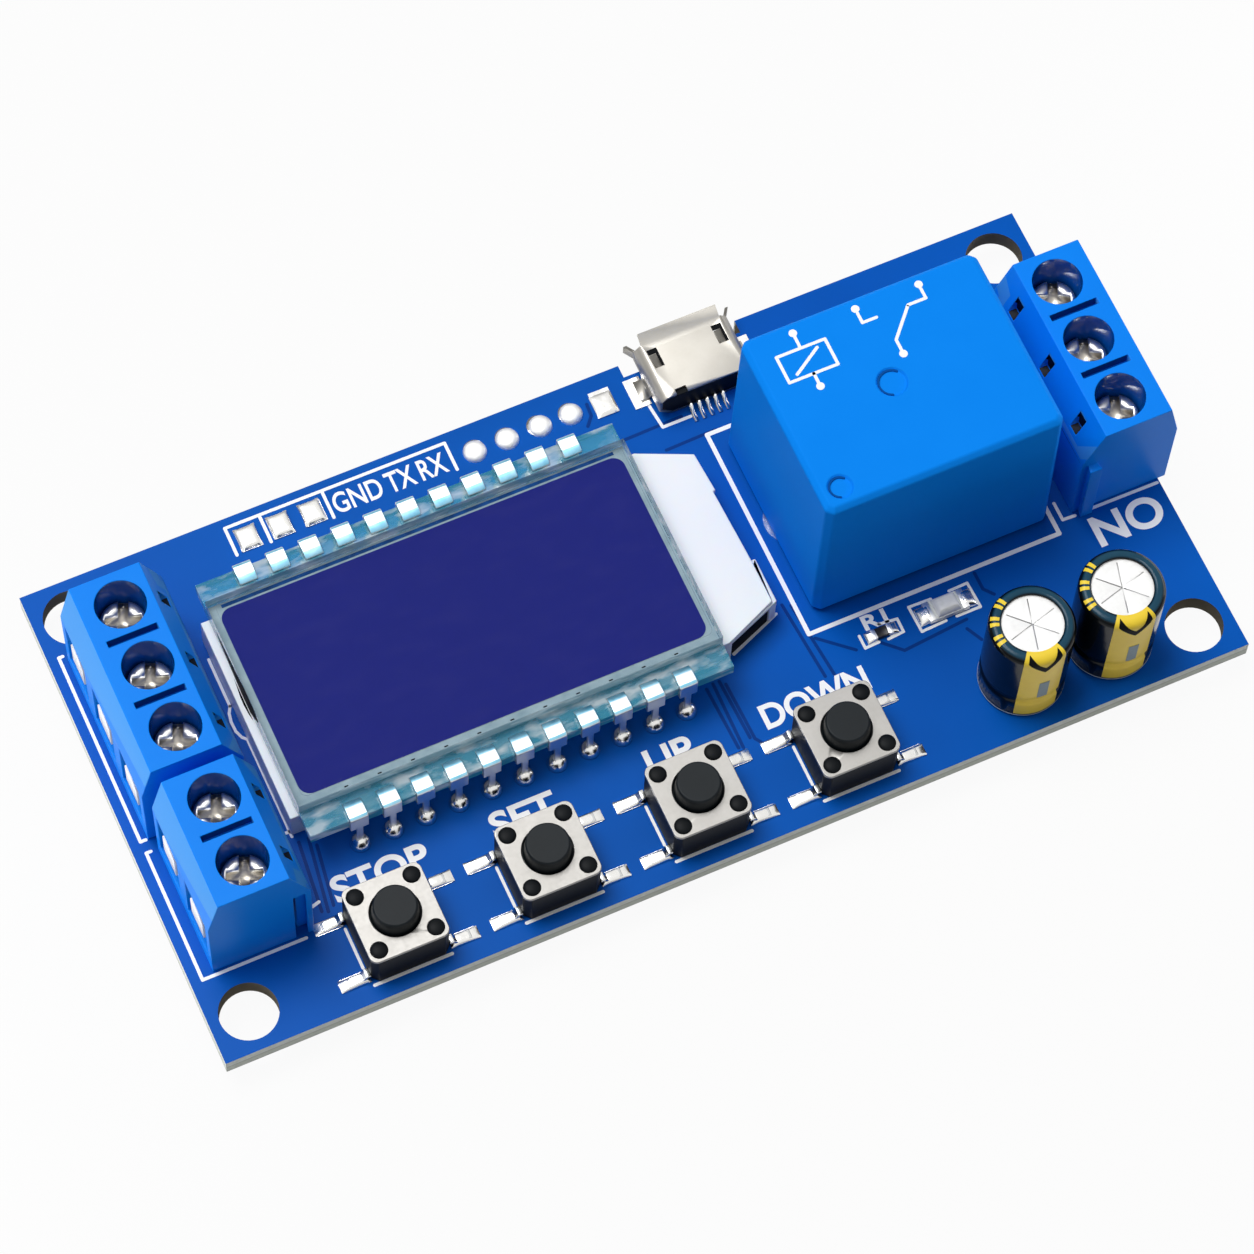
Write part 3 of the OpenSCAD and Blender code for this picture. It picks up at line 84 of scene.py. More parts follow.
BOARD_LOW, BOARD_HIGH = box_mm("circuit_board")
BOARD_TOP = BOARD_HIGH.z
print("loaded", len(frame["nodes"]), "solids, board top at", round(BOARD_TOP, 3), "mm")

# %% [markdown]
# ## Helpers for colours and nodes
# A finish is a small tree of shader nodes. One function turns a colour as a painter writes it, in sRGB hex,
# into the linear values that the renderer uses, and one function adds a node with its settings and links. A
# node that is given as an input is linked by its first output in use.

# %% Colours and nodes


def colour(hex_text):
    """An sRGB hex colour as linear red, green, blue and a full alpha."""
    parts = []
    for start in (1, 3, 5):
        value = int(hex_text[start:start + 2], 16) / 255
        parts.append(value / 12.92 if value <= 0.04045 else ((value + 0.055) / 1.055) ** 2.4)
    return (*parts, 1.0)


def set_inputs(tree, node, inputs):
    """Sets a node's inputs. Each is a plain value, a hex colour, or a node or an output to link."""
    for socket, value in inputs.items():
        if isinstance(value, str):
            value = colour(value)
        if isinstance(value, bpy.types.Node):
            value = next(output for output in value.outputs if output.enabled)
        if isinstance(value, bpy.types.NodeSocket):
            tree.links.new(value, node.inputs[socket])
        else:
            node.inputs[socket].default_value = value


def add_node(tree, kind, inputs, **settings):
    """Adds a node with its settings and its inputs."""
    made = tree.nodes.new(kind)
    for name, value in settings.items():
        setattr(made, name, value)
    set_inputs(tree, made, inputs)
    return made


def new_finish(name, **constants):
    """A material with its shader's constants set, its tree and its Object coordinates."""
    finish = bpy.data.materials.new(name)
    finish.use_nodes = True
    tree = finish.node_tree
    shader = tree.nodes["Principled BSDF"]
    for socket, value in constants.items():
        shader.inputs[socket.replace("_", " ")].default_value = value
    place = add_node(tree, "ShaderNodeTexCoord", {}).outputs["Object"]
    return finish, tree, shader, place


def face_tilt(tree):
    """How far each face looks along X, Y and Z, as sockets."""
    facing = add_node(tree, "ShaderNodeNewGeometry", {})
    return add_node(tree, "ShaderNodeSeparateXYZ", {"Vector": facing.outputs["Normal"]}).outputs


def per_mm(size):
    """The texture scale at which a pattern repeats about every so many millimetres."""
    return 1 / (size * MM)


# The numbers of a Mix node's colour sockets
FACTOR = 0
FIRST = 6
SECOND = 7
print("helpers ready")

# %% [markdown]
# ## Camera, floor and light
# The camera stands where the photographer's did: it was fitted to the board's corners and holes, so its
# place, direction, lens and slight roll are measured values. A large soft lamp hangs above, a little behind
# and to the left, and a dim room with a pale ceiling fills the shadows. Metal shows its shape by mirroring
# both the ceiling and the darker walls. A low white card at each end lights the ends of the board. The
# floor and the world are white to the camera only, and the floor to mirror rays too, so that a white
# backdrop puts no extra light on the object and the floor still takes its shadow.

# %% Camera
CAMERA_PLACE = Vector((-72.790, -138.484, 336.055))
CAMERA_DIRECTION = Vector((0.19531, 0.37474, -0.90632))
CAMERA_ROLL = 3.53
LENS = 146.56
SENSOR = 36.0

camera_data = bpy.data.cameras.new("photo_camera")
camera_data.lens = LENS
camera_data.sensor_width = SENSOR
camera_data.clip_start = 0.01
camera_data.clip_end = 20.0
camera = bpy.data.objects.new("photo_camera", camera_data)
camera.rotation_mode = "QUATERNION"
aim = CAMERA_DIRECTION.to_track_quat("-Z", "Y")
camera.rotation_quaternion = aim @ Quaternion((0, 0, 1), math.radians(CAMERA_ROLL))
camera.location = CAMERA_PLACE * MM
bpy.context.scene.collection.objects.link(camera)
bpy.context.scene.camera = camera
print("camera", round(CAMERA_PLACE.length), "mm from the board's centre")

# %% Floor
FLOOR_SIZE = 4.0
FLOOR_GLOW = 0.94

floor_finish = bpy.data.materials.new("white_paper_sweep")
floor_finish.use_nodes = True
tree = floor_finish.node_tree
tree.nodes.remove(tree.nodes["Principled BSDF"])
paper = add_node(tree, "ShaderNodeBsdfDiffuse", {"Color": "#c4c4c4"})
glow = add_node(tree, "ShaderNodeEmission", {"Color": "#ffffff", "Strength": 1.0})
rays = add_node(tree, "ShaderNodeLightPath", {})
seen = add_node(tree, "ShaderNodeMath", {0: rays.outputs["Is Camera Ray"], 1: rays.outputs["Is Glossy Ray"]},
                operation="MAXIMUM")
share = add_node(tree, "ShaderNodeMath", {0: seen, 1: FLOOR_GLOW}, operation="MULTIPLY")
sweep = add_node(tree, "ShaderNodeMixShader", {0: share, 1: paper, 2: glow})
set_inputs(tree, tree.nodes["Material Output"], {"Surface": sweep})

shape = bmesh.new()
bmesh.ops.create_grid(shape, x_segments=1, y_segments=1, size=FLOOR_SIZE / 2)
bmesh.ops.translate(shape, vec=(0, 0, cad_box[0][2]), verts=shape.verts)
floor_mesh = bpy.data.meshes.new("floor")
shape.to_mesh(floor_mesh)
shape.free()
floor_mesh.materials.append(floor_finish)
floor = bpy.data.objects.new("floor", floor_mesh)
bpy.context.scene.collection.objects.link(floor)
print("floor at", round(cad_box[0][2] / MM, 2), "mm")

# %% Light
FILL = 0.31
WALL = 0.25
CEILING_START = 0.6
KEY_PLACE = Vector((-0.16, 0.22, 0.72))
KEY_SIZE = 0.42
KEY_LEVEL = 0.78
CARD_OUT = 0.078
CARD_RISE = 0.012
CARD_SIZE = (0.05, 0.018)
CARD_LEVEL = 0.72
CARD_AIM = 0.008

world = bpy.data.worlds.new("studio")
bpy.context.scene.world = world
world.use_nodes = True
tree = world.node_tree
direction = add_node(tree, "ShaderNodeTexCoord", {}).outputs["Generated"]
rise = add_node(tree, "ShaderNodeSeparateXYZ", {"Vector": direction})
room = add_node(tree, "ShaderNodeMapRange",
                {"Value": rise.outputs["Z"], "From Max": CEILING_START, "To Min": WALL})
rays = add_node(tree, "ShaderNodeLightPath", {})
level = add_node(tree, "ShaderNodeMapRange", {"Value": rays.outputs["Is Glossy Ray"], "To Min": FILL})
strength = add_node(tree, "ShaderNodeMath", {0: room, 1: level}, operation="MULTIPLY")
fill = tree.nodes["Background"]
set_inputs(tree, fill, {"Color": "#ffffff", "Strength": strength})
white = add_node(tree, "ShaderNodeBackground", {"Color": "#ffffff", "Strength": 1.0})
sky = add_node(tree, "ShaderNodeMixShader", {0: rays.outputs["Is Camera Ray"], 1: fill, 2: white})
set_inputs(tree, tree.nodes["World Output"], {"Surface": sky})


def add_lamp(name, place, target, size, level):
    """A soft lamp. A level of 1 lights a white sheet at the target, square to the lamp, to full white."""
    run = target - place
    data = bpy.data.lights.new(name, "AREA")
    data.shape = "RECTANGLE"
    data.size, data.size_y = size
    data.energy = level * math.pi ** 2 * run.length_squared
    lamp = bpy.data.objects.new(name, data)
    lamp.location = place
    lamp.rotation_mode = "QUATERNION"
    lamp.rotation_quaternion = run.to_track_quat("-Z", "Y")
    lamp.visible_camera = False
    bpy.context.scene.collection.objects.link(lamp)
    print(name, round(data.energy, 3), "W")


key_cosine = KEY_PLACE.z / KEY_PLACE.length
add_lamp("key_softbox", KEY_PLACE, Vector((0, 0, 0)), (KEY_SIZE, KEY_SIZE), KEY_LEVEL / key_cosine)
for name, side in (("left_card", -1), ("right_card", 1)):
    card_place = Vector((side * CARD_OUT, 0, CARD_RISE))
    board_end = Vector((side * BOARD_HIGH.x * MM, 0, CARD_AIM))
    add_lamp(name, card_place, board_end, CARD_SIZE, CARD_LEVEL)
bpy.context.scene.view_settings.view_transform = "Standard"

# %% [markdown]
# ## Finishes of plastic
# Moulded plastic is one colour all through, but the eye sees more: the tool's fine grain breaks up the
# gloss, and flow in the mould leaves the colour a little uneven. So each plastic gets two near colours
# mixed by a coarse noise, a roughness that wavers, and a bump of the tool's grain. A grain finer than a
# pixel can't show, so it is drawn at about a third of a millimetre.

# %% Moulded plastics


def moulded_plastic(name, light, dark, roughness, grain=0.3, relief=0.0015, flow=4.0, **constants):
    """Moulded plastic: a near-even colour with flow marks, and a fine grain from the tool."""
    finish, tree, shader, place = new_finish(name, IOR=1.5, **constants)
    marks = add_node(tree, "ShaderNodeTexNoise", {"Vector": place, "Scale": per_mm(flow), "Detail": 3.0})
    tint = add_node(tree, "ShaderNodeMix", {FACTOR: marks, FIRST: dark, SECOND: light}, data_type="RGBA")
    tool = add_node(tree, "ShaderNodeTexNoise", {"Vector": place, "Scale": per_mm(grain), "Detail": 2.0})
    gloss = add_node(tree, "ShaderNodeMapRange",
                     {"Value": tool, "To Min": roughness - 0.03, "To Max": roughness + 0.03})
    bump = add_node(tree, "ShaderNodeBump", {"Height": tool, "Distance": relief * MM, "Strength": 0.5})
    set_inputs(tree, shader, {"Base Color": tint, "Roughness": gloss, "Normal": bump})
    return finish


# Blue nylon of the terminal blocks: bright, half glossy
NYLON = ("#0586f4", "#047fee")
# Blue polyester of the relay's case: smoother and a little lighter
relay_polyester = moulded_plastic("blue_relay_polyester", "#0f8af6", "#0a84f0", 0.45, relief=0.0004,
                                  Specular_IOR_Level=0.01)
# Black nylon of the switch bases, their rivets and the socket's block
black_nylon = moulded_plastic("black_nylon", "#0b0f13", "#06090c", 0.50, Specular_IOR_Level=0.10)
# Dark grey nylon of the plungers: the grain is coarse enough to speckle their tops
plunger_nylon = moulded_plastic("dark_grey_plunger_nylon", "#10181d", "#070d11", 0.46, grain=0.18,
                                relief=0.006, Specular_IOR_Level=0.18)
# White nylon of the coil's bobbin, inside the relay
bobbin_nylon = moulded_plastic("white_bobbin_nylon", "#e6e5de", "#dcdbd2", 0.45)
# Black epoxy of the chips on the underside: matt, with a coarser grain
chip_epoxy = moulded_plastic("black_chip_epoxy", "#24272a", "#17191c", 0.55, grain=0.15, relief=0.008)
# Black rubber of the bungs under the capacitors
bung_rubber = moulded_plastic("black_bung_rubber", "#1b1c1d", "#101112", 0.75)
# Milky acrylic of the backlight: light wanders in it, so its shades are soft
backlight_acrylic = moulded_plastic("milky_backlight_acrylic", "#f3f4f5", "#eceef0", 0.34, flow=7.0,
                                    Subsurface_Weight=0.15, Subsurface_Scale=0.001)
# Grey diffusing film under the rear glass
diffusing_film = moulded_plastic("grey_diffusing_film", "#c4c8cc", "#b4b8bd", 0.40)
# Clear resin of the indicator light's lens, a little cloudy
light_resin = moulded_plastic("cloudy_light_resin", "#ffffff", "#e6e7e2", 0.22, flow=0.5)
# Dark glaze of the chip resistors on the underside
chip_glaze = moulded_plastic("dark_chip_glaze", "#2a2622", "#161412", 0.32, flow=0.5)
# White ink, printed a little unevenly
white_ink = moulded_plastic("white_board_ink", "#ffffff", "#f8fafc", 0.55, flow=1.0, Specular_IOR_Level=0.2)
# Gold and grey print on the sleeves
gold_ink = moulded_plastic("gold_sleeve_ink", "#fadc40", "#eecb34", 0.35, flow=1.5, Specular_IOR_Level=0.3)
grey_ink = moulded_plastic("grey_sleeve_ink", "#6d8594", "#5d7480", 0.35, flow=1.5, Specular_IOR_Level=0.3)
# A painted highlight along the foot of a sleeve, where its lower edge catches the light
painted_foot_highlight = moulded_plastic("painted_sleeve_foot_highlight", "#dfe6ea", "#b9c4ca", 0.40)
# Black print, and black painted shade in gaps, windows and hollows, with no shine
matt_black = moulded_plastic("matt_black", "#07090c", "#040608", 0.70, Specular_IOR_Level=0.1)
# The dark field of the display, and the pale seal that joins its plates
field_blue = moulded_plastic("dark_display_field", "#1c2279", "#1a2075", 0.45, flow=12.0,
                             Specular_IOR_Level=0.02)
seal_grey = moulded_plastic("pale_display_seal", "#a3b8c1", "#6d8996", 0.50, flow=1.2, Specular_IOR_Level=0.2)
# The shadow under the back edge of the front glass, with blue lights of the board in it
edge_shadow = moulded_plastic("dark_glass_edge_shadow", "#1a62b8", "#020a16", 0.50, flow=1.1,
                              Specular_IOR_Level=0.02)
# The shaded wall of a dimple in the relay's case
dimple_blue = moulded_plastic("shaded_dimple_polyester", "#0b55a6", "#084a94", 0.50, Specular_IOR_Level=0.02)
# Bare board between two copper areas, under the mask: a darker blue
gap_blue = moulded_plastic("dark_trace_gaps", "#003a88", "#00337c", 0.36, Specular_IOR_Level=0.06)
print("plastics made")

# %% [markdown]
# ## Finishes of metal
# Plated metal has no colour of its own but what it mirrors, so its roughness does the work. Rolled sheet
# has fine lines from the mill, solder froze while it flowed and is wavy, and a drawn can is brushed round.
# A metal's colour is what it reflects straight on, close to white for tin, nickel and zinc.

# %% Plated metals


def plated_metal(name, light, dark, roughness, grain=0.25, relief=0.003, wave=0.0, **constants):
    """Plated metal: a pale reflection with uneven gloss. Wave is the height of slow swells, as solder has."""
    finish, tree, shader, place = new_finish(name, **{"Metallic": 1.0, **constants})
    patches = add_node(tree, "ShaderNodeTexNoise", {"Vector": place, "Scale": per_mm(1.5), "Detail": 4.0})
    tint = add_node(tree, "ShaderNodeMix", {FACTOR: patches, FIRST: dark, SECOND: light}, data_type="RGBA")
    mill = add_node(tree, "ShaderNodeTexNoise", {"Vector": place, "Scale": per_mm(grain), "Detail": 3.0})
    gloss = add_node(tree, "ShaderNodeMapRange",
                     {"Value": mill, "To Min": roughness * 0.7, "To Max": roughness * 1.3})
    fine = add_node(tree, "ShaderNodeBump", {"Height": mill, "Distance": relief * MM, "Strength": 0.5})
    swell = add_node(tree, "ShaderNodeTexNoise", {"Vector": place, "Scale": per_mm(0.7), "Detail": 1.0})
    bump = add_node(tree, "ShaderNodeBump", {"Height": swell, "Distance": wave * MM, "Normal": fine})
    set_inputs(tree, shader, {"Base Color": tint, "Roughness": gloss, "Normal": bump})
    return finish


# Tin solder: bright, and wavy where it froze
tin_solder = plated_metal("bright_tin_solder", "#f6f5f2", "#dcdbd7", 0.22, relief=0.0006, wave=0.03)
# Duller solder of the round pads, white under a soft light
satin_solder = plated_metal("satin_white_solder", "#ffffff", "#f4f3f0", 0.55, relief=0.0006)
# Tinned sheet of clips, legs and pins
tinned_sheet = plated_metal("tinned_sheet", "#e2e3e2", "#c6c7c6", 0.22, wave=0.01)
# Satin plated steel of the button covers
satin_steel = plated_metal("satin_cover_steel", "#989693", "#8c8a86", 0.42, relief=0.001)
# Nickel plated shell of the socket
nickel_shell = plated_metal("nickel_socket_shell", "#b6b3ac", "#aba79f", 0.42, relief=0.0006)
# Zinc plated screws: bright heads
zinc_steel = plated_metal("zinc_plated_screw", "#f7f7f5", "#dededb", 0.36)
# Dull tin of the strips in the terminal blocks: it scatters light, so it is white in the wire entries
dull_tin = plated_metal("dull_tin_strip", "#ffffff", "#f4f4f2", 0.60, relief=0.0006, Metallic=0.2)
# Tinned brass of the wire clamps
tinned_brass = plated_metal("tinned_clamp_brass", "#e4e3df", "#cac9c4", 0.26)
# Soft iron of the relay's magnet
soft_iron = plated_metal("nickel_plated_iron", "#c9c8c5", "#b0afab", 0.34)
# Bronze of the relay's leaf
leaf_bronze = plated_metal("phosphor_bronze", "#cf9f63", "#b58549", 0.28)
# Enamelled copper wire of the coil, wound in fine turns
coil_copper = plated_metal("enamelled_copper_wire", "#b8682f", "#8f4a1d", 0.25, grain=0.12, relief=0.02)
# Drawn aluminium of the cans
can_aluminium = plated_metal("drawn_can_aluminium", "#d0d0cf", "#c6c6c5", 0.55, relief=0.001)
print("metals made")

# %% [markdown]
# ## Board laminate
# The board is blue mask on its faces and pressed layers of glass cloth on its cut edge, and the walls of its
# holes get a brown-grey of painted shade. Three materials on three meshes would do, but the board is one
# solid, so one finish chooses the colour by the direction and the place of the face.

# %% Board laminate
EDGE_START = 0.99
# Shades of the cut edge, by the share of the board's thickness
LAYERS = ((0.12, "#dde2d8"), (0.42, "#d6dbd1"), (0.50, "#a9afa6"), (0.58, "#f4f7f6"), (0.90, "#fafcfb"))
board_laminate, tree, shader, place = new_finish("blue_board_laminate", IOR=1.5, Specular_IOR_Level=0.06)
spot = add_node(tree, "ShaderNodeSeparateXYZ", {"Vector": place})
flatness = add_node(tree, "ShaderNodeMath", {0: face_tilt(tree)["Z"]}, operation="ABSOLUTE")
on_face = add_node(tree, "ShaderNodeMath", {0: flatness, 1: 0.5}, operation="GREATER_THAN")
# How far out a point is, as a share of the half length or half width
ways_out = []
for axis, half in (("X", BOARD_HIGH.x * MM), ("Y", BOARD_HIGH.y * MM)):
    part = add_node(tree, "ShaderNodeMath", {0: spot.outputs[axis], 1: half}, operation="DIVIDE")
    ways_out.append(add_node(tree, "ShaderNodeMath", {0: part}, operation="ABSOLUTE"))
reach = add_node(tree, "ShaderNodeMath", {0: ways_out[0], 1: ways_out[1]}, operation="MAXIMUM")
on_edge = add_node(tree, "ShaderNodeMath", {0: reach, 1: EDGE_START}, operation="GREATER_THAN")
# Copper under the mask makes broad, faint patches
copper = add_node(tree, "ShaderNodeTexNoise", {"Vector": place, "Scale": per_mm(9.0), "Detail": 2.0})
mask = add_node(tree, "ShaderNodeMix", {FACTOR: copper, FIRST: "#004ea6", SECOND: "#005abc"},
                data_type="RGBA")
# The cut edge shows thin layers of cloth, palest above the middle of the board's thickness
depth = add_node(tree, "ShaderNodeMapRange",
                 {"Value": spot.outputs["Z"], "From Min": BOARD_LOW.z * MM, "From Max": BOARD_HIGH.z * MM})
layers = add_node(tree, "ShaderNodeValToRGB", {"Fac": depth})
layers.color_ramp.elements[0].color = colour("#b9bfba")
layers.color_ramp.elements[1].color = colour("#dfe5e4")
for level, shade in LAYERS:
    layers.color_ramp.elements.new(level).color = colour(shade)
streaks = add_node(tree, "ShaderNodeTexNoise", {"Vector": place, "Scale": per_mm(0.5), "Detail": 4.0})
cloth = add_node(tree, "ShaderNodeMix", {FACTOR: streaks, FIRST: "#d0d5ce", SECOND: layers}, data_type="RGBA")
# The walls of the holes get a brown-grey of painted shade
walls = add_node(tree, "ShaderNodeMix", {FACTOR: on_edge, FIRST: "#6b6558", SECOND: cloth}, data_type="RGBA")
skin = add_node(tree, "ShaderNodeMix", {FACTOR: on_face, FIRST: walls, SECOND: mask}, data_type="RGBA")
matt = add_node(tree, "ShaderNodeMapRange", {"Value": on_face, "To Min": 0.85, "To Max": 0.36})
set_inputs(tree, shader, {"Base Color": skin, "Roughness": matt})
print("made", board_laminate.name)

# %% [markdown]
# ## Sleeve film
# The shrink sleeve of a capacitor is thin glossy black film. Where it turns in over the top, a painted
# reflection of the sky makes it a little bluer. Shrinking leaves it faintly wrinkled, which a bump is enough
# for, because it is far finer than the can.

# %% Sleeve film
sleeve_film, tree, shader, place = new_finish("black_shrink_sleeve", IOR=1.5, Roughness=0.16,
                                              Specular_IOR_Level=0.14)
upward = add_node(tree, "ShaderNodeMapRange",
                  {"Value": face_tilt(tree)["Z"], "From Min": 0.75, "From Max": 0.95})
wrinkles = add_node(tree, "ShaderNodeTexNoise", {"Vector": place, "Scale": per_mm(1.2), "Detail": 3.0})
# Where the film turns in over the top: a teal-blue painted reflection of the sky
painted_sky_reflection = add_node(tree, "ShaderNodeMix", {FACTOR: wrinkles, FIRST: "#143c50", SECOND: "#1d4a60"},
                    data_type="RGBA")
tint = add_node(tree, "ShaderNodeMix", {FACTOR: upward, FIRST: "#05090d", SECOND: painted_sky_reflection}, data_type="RGBA")
bump = add_node(tree, "ShaderNodeBump", {"Height": wrinkles, "Distance": 0.02 * MM})
set_inputs(tree, shader, {"Base Color": tint, "Normal": bump})
print("made", sleeve_film.name)

# %% [markdown]
# ## Tin of the display's clips
# The clips that hold the glass are bent from tinned strip. Their sloping parts mirror the glass and the sky
# in light blue, and their level parts are plain tin. Such small mirrors would need a whole room to reflect,
# so the finish gives the slopes their tint.

# %% Clip tin
CLIP_SLOPE = 0.89
CLIP_SPREAD = 0.09
clip_tin, tree, shader, place = new_finish("tinned_clip", Metallic=1.0)
sloping = add_node(tree, "ShaderNodeMath", {0: face_tilt(tree)["Z"], 1: CLIP_SLOPE, 2: CLIP_SPREAD},
                   operation="COMPARE")
patches = add_node(tree, "ShaderNodeTexNoise", {"Vector": place, "Scale": per_mm(0.8), "Detail": 2.0})
sky_tint = add_node(tree, "ShaderNodeMix", {FACTOR: patches, FIRST: "#55b8de", SECOND: "#c4ecfa"},
                    data_type="RGBA")
tin = add_node(tree, "ShaderNodeMix", {FACTOR: sloping, FIRST: "#dfe1e1", SECOND: sky_tint}, data_type="RGBA")
gloss = add_node(tree, "ShaderNodeMapRange", {"Value": patches, "To Min": 0.3, "To Max": 0.46})
set_inputs(tree, shader, {"Base Color": tin, "Roughness": gloss})
print("made", clip_tin.name)

# %% [markdown]
# ## Chips with metal ends
# A chip resistor is a tiny block with tinned ends, and the light's base is made the same way. The ends are
# only as thick as the plating, so they are a change of finish along the chip and not a shape of their own.

# %% Chips with metal ends


def capped_chip(name, node, cap, light, dark):
    """A chip whose ends are tinned and whose body is glazed, told apart by the way along it."""
    low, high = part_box(node)
    finish, tree, shader, place = new_finish(name, IOR=1.5)
    spot = add_node(tree, "ShaderNodeSeparateXYZ", {"Vector": place})
    middle = (low.x + high.x) / 2
    shift = add_node(tree, "ShaderNodeMath", {0: spot.outputs["X"], 1: middle}, operation="SUBTRACT")
    way = add_node(tree, "ShaderNodeMath", {0: shift}, operation="ABSOLUTE")
    end = add_node(tree, "ShaderNodeMath", {0: way, 1: (high.x - low.x) / 2 - cap * MM},
                   operation="GREATER_THAN")
    patches = add_node(tree, "ShaderNodeTexNoise", {"Vector": place, "Scale": per_mm(0.4), "Detail": 2.0})
    body = add_node(tree, "ShaderNodeMix", {FACTOR: patches, FIRST: dark, SECOND: light}, data_type="RGBA")
    both = add_node(tree, "ShaderNodeMix", {FACTOR: end, FIRST: body, SECOND: "#f2f2f0"}, data_type="RGBA")
    gloss = add_node(tree, "ShaderNodeMapRange", {"Value": patches, "To Min": 0.26, "To Max": 0.4})
    set_inputs(tree, shader, {"Base Color": both, "Metallic": end, "Roughness": gloss})
    return finish


# White laminate under the light's lens, and the dark glaze of the chip resistor, both with tinned ends
light_laminate = capped_chip("tinned_light_laminate", "light_base", 0.5, "#f2f3ee", "#dcdfd8")
resistor_glaze = capped_chip("tinned_resistor_glaze", "chip_resistor", 0.35, "#2a2622", "#12100f")
print("made", light_laminate.name, "and", resistor_glaze.name)

# %% [markdown]
# ## Glass and clear film
# Glass plate is clear straight on and green-blue along its edges, with streaks of the sky. A refracting
# shader could be used, but what is below it stays dark. Alpha stands in for clearness here, because light
# then passes straight to what is behind.

# %% Glass and clear film


def clear_plate(name, tint, glint, face, edge, **constants):
    """Clear plate: it covers a little of what is behind its faces, and more behind its edges."""
    finish, tree, shader, place = new_finish(name, IOR=1.5, Roughness=0.08, **constants)
    flatness = add_node(tree, "ShaderNodeMath", {0: face_tilt(tree)["Z"]}, operation="ABSOLUTE")
    cover = add_node(tree, "ShaderNodeMapRange", {"Value": flatness, "To Min": edge, "To Max": face})
    streaks = add_node(tree, "ShaderNodeMapping", {"Vector": place, "Scale": (0.35, 1.0, 1.0)})
    patches = add_node(tree, "ShaderNodeTexNoise", {"Vector": streaks, "Scale": per_mm(1.0), "Detail": 3.0})
    share = add_node(tree, "ShaderNodeMapRange", {"Value": patches, "From Min": 0.48, "From Max": 0.66})
    hue = add_node(tree, "ShaderNodeMix", {FACTOR: share, FIRST: tint, SECOND: glint}, data_type="RGBA")
    set_inputs(tree, shader, {"Alpha": cover, "Base Color": hue})
    return finish


# Soda-lime glass of the rear plate: its bare ledges mirror the sky in teal streaks
ledge_glass = clear_plate("soda_lime_ledge_glass", "#3aa0bd", "#e2f4fa", 0.48, 0.80)
# The front plate, which lies over the dark field
front_glass = clear_plate("soda_lime_front_glass", "#8fb0bc", "#e4eef2", 0.004, 0.80)
# Clear polarising film on the front glass
clear_film = clear_plate("clear_polarising_film", "#c9d4da", "#e6ecef", 0.004, 0.30)
print("made", ledge_glass.name, front_glass.name, "and", clear_film.name)

# %% [markdown]
# ## A smooth, softened copy of a solid
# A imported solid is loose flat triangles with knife-sharp edges. Real edges are never that sharp: a moulded
# or folded edge has a small round that catches a line of light. A copy of the mesh is merged, its flat
# faces are joined, and its sharp edges get a narrow bevel. The shading is then weighted by face area, so
# that the flat faces stay flat. The copy stands for its node. A solid that is hidden inside another keeps
# its own mesh and only gets its finish. Thin flat parts are drawn as a plate or a filled outline and pulled
# up. A plate is one grid face, with bevelled corners where it is rounded.

# %% Pieces and softened copies
SHARP = math.radians(28)
CREASE = math.radians(50)
MERGE = 0.0005
FINE_MERGE = 0.0001
FLAT = math.radians(0.4)


def solid_copy(node):
    """A CAD node's mesh in millimetres, with its loose triangles merged."""
    shape = bmesh.new()
    shape.from_mesh(frame["nodes"][node].data)
    bmesh.ops.scale(shape, vec=(1 / MM, 1 / MM, 1 / MM), verts=shape.verts)
    bmesh.ops.remove_doubles(shape, verts=shape.verts, dist=MERGE)
    return shape


def soften(shape, width, segments):
    """Joins the flat faces of a shape and rounds every sharp edge."""
    bmesh.ops.dissolve_limit(shape, angle_limit=FLAT, verts=shape.verts, edges=shape.edges)
    rims = []
    for edge in shape.edges:
        if len(edge.link_faces) == 2 and edge.calc_face_angle() > SHARP:
            rims.append(edge)
    bmesh.ops.bevel(shape, geom=rims, offset=width, offset_type="OFFSET", affect="EDGES", segments=segments,
                    profile=0.5, material=-1, clamp_overlap=False, loop_slide=True)


def new_piece(name, shape, finish, body="board", stands_for=()):
    """Turns a shape in millimetres into a piece that rides on a body."""
    bmesh.ops.scale(shape, vec=(MM, MM, MM), verts=shape.verts)
    mesh = bpy.data.meshes.new(name)
    shape.to_mesh(mesh)
    shape.free()
    mesh.materials.append(finish)
    mesh.shade_smooth()
    mesh.set_sharp_from_angle(angle=CREASE)
    piece = bpy.data.objects.new(name, mesh)
    bpy.context.scene.collection.objects.link(piece)
    even = piece.modifiers.new("even_shading", "WEIGHTED_NORMAL")
    even.keep_sharp = True
    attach(piece, body)
    if stands_for:
        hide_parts(*stands_for)
    print(name, len(mesh.polygons), "faces")
    return piece


def dressed(node, finish, width, segments=2, lift=0.0):
    """A softened copy of a node, which stands for it."""
    shape = solid_copy(node)
    if width:
        soften(shape, width, segments)
    bmesh.ops.translate(shape, vec=(0, 0, lift), verts=shape.verts)
    return new_piece(node + "_finished", shape, finish, node_body[node], [node])


def finished(node, finish):
    """Gives a CAD node that stays its finish."""
    for slot in frame["nodes"][node].material_slots:
        slot.material = finish
    print(node, "finished")


def merge_in(shape, part):
    """Adds a part to a shape, with its faces turned outwards."""
    bmesh.ops.recalc_face_normals(part, faces=part.faces)
    holder = bpy.data.meshes.new("part")
    part.to_mesh(holder)
    part.free()
    shape.from_mesh(holder)
    bpy.data.meshes.remove(holder)


